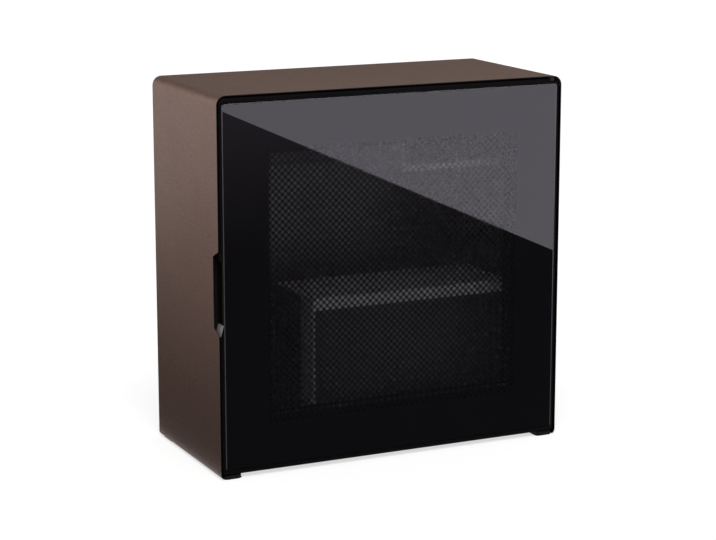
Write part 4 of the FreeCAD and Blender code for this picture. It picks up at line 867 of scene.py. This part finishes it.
# The ticks grow wider from the low end of the scale to the high end
dialScale = {"ticks": 7, "radius": 0.0124, "length": 0.0022, "width": 0.0007, "depth": 0.0003,
             "from": 225.0, "sweep": -270.0, "firstWidth": 0.7, "growth": 0.12}


def dialTicks():
    mesh = bmesh.new()
    size = dialScale
    low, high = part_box("thermostat_dial")
    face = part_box("thermostat_housing")[0].y
    middle = Vector(((low.x + high.x) / 2, face, (low.z + high.z) / 2))
    outward = Matrix.Translation((size["radius"], 0.0, 0.0))
    for number in range(size["ticks"]):
        angle = size["from"] + size["sweep"] * number / (size["ticks"] - 1)
        turn = Matrix.Translation(middle) @ Matrix.Rotation(math.radians(-angle), 4, "Y")
        width = size["width"] * (size["firstWidth"] + number * size["growth"])
        tick = Matrix.Diagonal((size["length"], size["depth"], width, 1.0))
        bmesh.ops.create_cube(mesh, size=1.0, matrix=turn @ outward @ tick)
    finishPiece("dial_scale", mesh, "cabinet", "dial_plastic")


# Gland at the foot of the rear cover, with a flange on the sheet and a tapered neck
gland = {"bore": 0.0036, "flange": 0.009, "neck": 0.006, "flangeEdge": 0.0011, "flangeRise": 0.0018,
         "flangeTaper": 0.86, "neckTaper": 0.95, "mouthTaper": 0.9, "mouthEdge": 0.0003}


def cableGland():
    mesh = bmesh.new()
    size = gland
    low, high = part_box("cable_gland")
    middle = Vector(((low.x + high.x) / 2, low.y, (low.z + high.z) / 2))
    rise, seat = high.y - low.y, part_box("machine_cover")[1].y - low.y
    profile = [
        (size["bore"], 0.0), (size["neck"], 0.0), (size["neck"], seat), (size["flange"], seat),
        (size["flange"], seat + size["flangeEdge"]),
        (size["flange"] * size["flangeTaper"], seat + size["flangeRise"]),
        (size["neck"] * size["neckTaper"], rise - size["mouthEdge"]),
        (size["neck"] * size["mouthTaper"], rise), (size["bore"], rise), (size["bore"], 0.0),
    ]
    addTurned(mesh, profile, middle, towardBack, 32)
    finishPiece("strain_relief", mesh, "cabinet", "black_plastic", "cable_gland")


shelfRibs()
lampLens()
dialTicks()
cableGland()
print("shelf ribs, lens, dial scale and gland made")

# Compressor: two drawn cups welded at the belt, with a domed top
compressor = {"beltDepth": 0.003, "beltFrom": 0.0495, "beltHeight": 0.005, "dome": 0.034, "foot": 0.010,
              "domeSteps": 12, "steps": 64}


# Adds an arc from one angle to another to the profile of a turned form
def turnedArc(profile, radius, level, reach, first, last, steps=7):
    for step in range(steps + 1):
        angle = math.radians(first + (last - first) * step / steps)
        profile.append((radius + reach * math.cos(angle), level + reach * math.sin(angle)))


def compressorPot():
    size = compressor
    low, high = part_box("compressor")
    belt = (high.x - low.x) / 2
    radius, edge = belt - size["beltDepth"], size["beltDepth"] / 4
    beltLow = low.z + size["beltFrom"]
    beltHigh = beltLow + size["beltHeight"]
    profile = [(0.0, low.z)]
    turnedArc(profile, radius - size["foot"], low.z + size["foot"], size["foot"], -90, 0)
    profile += [(radius, beltLow), (belt - edge, beltLow), (belt, beltLow + edge), (belt, beltHigh - edge),
                (belt - edge, beltHigh), (radius, beltHigh)]
    turnedArc(profile, radius - size["dome"], high.z - size["dome"], size["dome"], 0, 90, size["domeSteps"])
    profile.append((0.0, high.z))
    mesh = bmesh.new()
    addTurned(mesh, profile, ((low.x + high.x) / 2, (low.y + high.y) / 2, 0.0), steps=size["steps"])
    finishPiece("compressor_pot", mesh, "cabinet", "compressor_enamel", "compressor")


# Copper lines of the cooling circuit and the flask of the drier
line = {"pipe": 0.003, "pipeBend": 0.014, "capillary": 0.0012, "capillaryBend": 0.011, "drop": 0.028,
        "bendSteps": 12}
drier = {"barrel": 0.008, "neck": 0.003, "tip": 0.0016, "length": 0.074, "cone": 0.014, "tipFlare": 1.2,
         "tipLength": 0.003, "shoulder": 0.8, "shoulderAt": 0.7, "neckFlare": 1.25, "neckLength": 0.002,
         "steps": 32}


def copperLine(node, corners, bend, radius):
    mesh = bmesh.new()
    addTube(mesh, roundedPath(corners, bend, steps=line["bendSteps"]), radius, resolution=4)
    finishPiece(node + "_line", mesh, "cabinet", "copper", node)


def coolingLines():
    for node in ("suction_pipe", "discharge_pipe"):
        low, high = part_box(node)
        x, y, z = low.x + line["pipe"], (low.y + high.y) / 2, low.z + line["pipe"]
        copperLine(node, [(high.x, y, z), (x, y, z), (x, y, high.z)], line["pipeBend"], line["pipe"])
    low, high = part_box("capillary_tube")
    left, right = low.x + line["capillary"], high.x - line["capillary"]
    y, top = (low.y + high.y) / 2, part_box("filter_drier")[0].z
    lowest = top - line["drop"]
    corners = [(left, y, top), (left, y, lowest), (right, y, lowest), (right, y, high.z)]
    copperLine("capillary_tube", corners, line["capillaryBend"], line["capillary"])


def drierFlask():
    size = drier
    low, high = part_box("filter_drier")
    bottom, shoulder = low.z, size["barrel"] * size["shoulder"]
    bodyTop, toShoulder = bottom + size["length"], size["cone"] * size["shoulderAt"]
    profile = [
        (0.0, bottom), (size["tip"], bottom), (size["tip"] * size["tipFlare"], bottom + size["tipLength"]),
        (shoulder, bottom + toShoulder), (size["barrel"], bottom + size["cone"]),
        (size["barrel"], bodyTop - size["cone"]), (shoulder, bodyTop - toShoulder),
        (size["neck"] * size["neckFlare"], bodyTop), (size["neck"], bodyTop + size["neckLength"]),
        (size["neck"], high.z), (0.0, high.z),
    ]
    place = (high.x - size["barrel"], (low.y + high.y) / 2, 0.0)
    mesh = bmesh.new()
    addTurned(mesh, profile, place, steps=size["steps"])
    finishPiece("drier_flask", mesh, "cabinet", "copper", "filter_drier")


# Waisted rubber feet below the bracket, their heights as shares of the rise, and the relay's ribbed cover
mount = {"radius": 0.009, "waist": 0.0062, "foot": 0.2, "waistLow": 0.34, "waistHigh": 0.58, "head": 0.72,
         "edge": 0.94, "edgeTaper": 0.92, "steps": 28}
relay = {"edge": 0.004, "rib": 0.001, "ribs": 6, "ribHalf": 0.0008, "ribEdge": 0.0005, "endGap": 0.008,
         "sideGap": 0.006}


def mountGrommets():
    low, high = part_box("compressor_mounts")
    rise, wide, waist = high.z - low.z, mount["radius"], mount["waist"]
    profile = [
        (0.0, 0.0), (wide, 0.0), (wide, rise * mount["foot"]), (waist, rise * mount["waistLow"]),
        (waist, rise * mount["waistHigh"]), (wide, rise * mount["head"]), (wide, rise * mount["edge"]),
        (wide * mount["edgeTaper"], rise), (0.0, rise),
    ]
    mesh = bmesh.new()
    for x in (low.x + wide, high.x - wide):
        for y in (low.y + wide, high.y - wide):
            addTurned(mesh, profile, (x, y, low.z), steps=mount["steps"])
    finishPiece("mount_grommets", mesh, "cabinet", "black_rubber", "compressor_mounts")


def relayCover():
    cover = bmesh.new()
    low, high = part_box("relay_box")
    addBox(cover, low, (high.x - relay["rib"], high.y, high.z), relay["edge"], 4)
    pitch = (high.z - low.z - relay["endGap"] * 2) / relay["ribs"]
    for number in range(relay["ribs"] + 1):
        z = low.z + relay["endGap"] + pitch * number
        addBox(cover, (high.x - relay["rib"] * 2, low.y + relay["sideGap"], z - relay["ribHalf"]),
               (high.x, high.y - relay["sideGap"], z + relay["ribHalf"]), relay["ribEdge"], 1)
    finishPiece("relay_cover", cover, "cabinet", "black_plastic", "relay_box")


compressorPot()
coolingLines()
drierFlask()
mountGrommets()
relayCover()
print("cooling parts made")


# Studio

# A flat rectangle of the stage; a cut is a point, a normal and whether the part above it is kept
def stageGrid(name, middle, width, depth, turn, material, cut=None):
    mesh = bmesh.new()
    size = Matrix.Diagonal((width, depth, 1.0, 1.0))
    bmesh.ops.create_grid(mesh, x_segments=1, y_segments=1, size=0.5,
                          matrix=Matrix.Translation(middle) @ turn @ size)
    if cut:
        point, normal, keepAbove = cut
        bmesh.ops.bisect_plane(mesh, geom=mesh.verts[:] + mesh.edges[:] + mesh.faces[:],
                               dist=closeness["level"], plane_co=point, plane_no=normal,
                               clear_inner=keepAbove, clear_outer=not keepAbove)
    data = bpy.data.meshes.new(name)
    mesh.to_mesh(data)
    mesh.free()
    plane = addObject(name, data)
    data.materials.append(material)
    return plane


# One for the rays that come from the camera, a mirror or a pane, none for the rays that light a surface
def seenDirectly(tree):
    path = tree.nodes.new("ShaderNodeLightPath")
    through = mathNode(tree, "MAXIMUM", path.outputs["Is Glossy Ray"], path.outputs["Is Transmission Ray"])
    return mathNode(tree, "MAXIMUM", path.outputs["Is Camera Ray"], through)


def floorMaterial(colour, glow):
    material, tree, shader = startMaterial("studioFloor", studio["floorRoughness"], specular=0.0)
    setInputs(shader, {"Base Color": (*grey(colour), 1.0)})
    shine = tree.nodes.new("ShaderNodeEmission")
    tree.links.new(mathNode(tree, "MULTIPLY", seenDirectly(tree), glow), shine.inputs["Strength"])
    both = tree.nodes.new("ShaderNodeAddShader")
    tree.links.new(shader.outputs[0], both.inputs[0])
    tree.links.new(shine.outputs[0], both.inputs[1])
    tree.links.new(both.outputs[0], tree.nodes["Material Output"].inputs["Surface"])
    return material


# A card's glow, even or rising with height
def cardMaterial(name, colour, strength, levels=None):
    material = bpy.data.materials.new(name)
    material.use_nodes = True
    tree = material.node_tree
    tree.nodes.remove(tree.nodes["Principled BSDF"])
    shine = tree.nodes.new("ShaderNodeEmission")
    shine.inputs["Color"].default_value = (*colour, 1.0)
    if levels:
        rising = rampBetween(tree, objectParts(tree)["Z"], *levels, *strength)
        tree.links.new(rising, shine.inputs["Strength"])
    else:
        shine.inputs["Strength"].default_value = strength
    tree.links.new(shine.outputs[0], tree.nodes["Material Output"].inputs["Surface"])
    return material


lyingFlat = Matrix()
towardSide = Matrix.Rotation(math.radians(90), 4, "Y")

studio = {"floorSize": 60, "floorColour": 0.45, "floorGlow": 0.66, "floorRoughness": 0.9,
          "worldDiffuse": 0.45, "keySun": 1.7, "sunPlace": (-0.6, -1.8, 3.0), "sunAim": (0, 0, 0.3),
          "sunAngle": 35}

# Each card: colour, strength, and for those that brighten upwards the heights between which they do
cardLooks = {
    "cardWhite": ((0.93, 0.88, 1.0), 2.3, None),
    "cardBlack": ((1.0, 0.9, 1.08), (0.075, 0.4), (0.1, 0.6)),
    "cardUpper": ((0.96, 0.92, 1.0), 0.35, None),
    "cardSide": ((1.0, 0.84, 0.78), (0.18, 1.4), (-0.12, 0.62)),
    "cardFloor": ((1.0, 0.9, 0.85), 0.03, None),
    "cardRear": ((1.0, 0.85, 0.77), 0.15, None),
}
cards = {name: cardMaterial(name, *look) for name, look in cardLooks.items()}

# The light front card meets the dark one at a slanted edge, which the glass mirrors
frontEdge = {"point": (0.0797, -1.0, 0.4093), "normal": (0.454, 0.0, 1.0)}
lightPart = (frontEdge["point"], frontEdge["normal"], True)
darkPart = (frontEdge["point"], frontEdge["normal"], False)

# Each card: its middle, width and depth, the way it faces, its look and its cut
cardPlaces = {
    "front_card": ((0.2, -1.0, 0.328), 3.2, 0.65, towardFront, "cardWhite", lightPart),
    "front_dark_card": ((0.2, -1.0, 0.328), 3.2, 0.65, towardFront, "cardBlack", darkPart),
    "front_upper_card": ((0.2, -1.0, 1.203), 3.2, 1.1, towardFront, "cardUpper", None),
    "front_floor_card": ((0.1, -0.595, 0.002), 3.4, 0.91, lyingFlat, "cardBlack", None),
    "side_card": ((-0.55, 0.675, 0.45), 0.9, 1.85, towardSide, "cardSide", None),
    "side_floor_card": ((-0.745, 0.75, 0.002), 0.91, 2.1, lyingFlat, "cardFloor", None),
    "rear_card": ((0.6, 1.3, 1.09), 2.8, 1.04, towardFront, "cardRear", None),
}

floor = floorMaterial(studio["floorColour"], studio["floorGlow"])
stageGrid("studio_floor", (0, 0, 0), studio["floorSize"], studio["floorSize"], lyingFlat, floor)
reflected = [stageGrid(name, middle, width, depth, turn, cards[look], cut)
             for name, (middle, width, depth, turn, look, cut) in cardPlaces.items()]
for card in reflected:
    card.visible_camera = False
    card.visible_diffuse = False
    card.visible_transmission = False
    card.visible_volume_scatter = False
    card.visible_shadow = False

world = bpy.data.worlds.new("studioWorld")
bpy.context.scene.world = world
world.use_nodes = True
sky = world.node_tree
background = sky.nodes["Background"]
setInputs(background, {"Color": (*grey(1.0), 1.0)})
glow = rampBetween(sky, seenDirectly(sky), 0.0, 1.0, studio["worldDiffuse"], 1.0)
sky.links.new(glow, background.inputs["Strength"])

sunData = bpy.data.lights.new("key_sun", "SUN")
sunData.energy = studio["keySun"]
sunData.angle = math.radians(studio["sunAngle"])
sun = addObject("key_sun", sunData)
sun.location = studio["sunPlace"]
sun.rotation_euler = (Vector(studio["sunAim"]) - sun.location).to_track_quat("-Z", "Y").to_euler()
print("studio made")

# Camera
cameraSetup = {"lens": 107.41, "sensor": 36.0, "farClip": 100.0, "place": (-1.3785, -2.8949, 0.9518),
               "down": 12.129, "turn": 25.486}
camera = addObject("camera", bpy.data.cameras.new("camera"))
camera.data.lens = cameraSetup["lens"]
camera.data.sensor_width = cameraSetup["sensor"]
camera.data.clip_end = cameraSetup["farClip"]
camera.location = cameraSetup["place"]
camera.rotation_euler = (math.radians(90 - cameraSetup["down"]), 0, math.radians(-cameraSetup["turn"]))
bpy.context.scene.camera = camera
bpy.context.scene.view_settings.view_transform = "Standard"
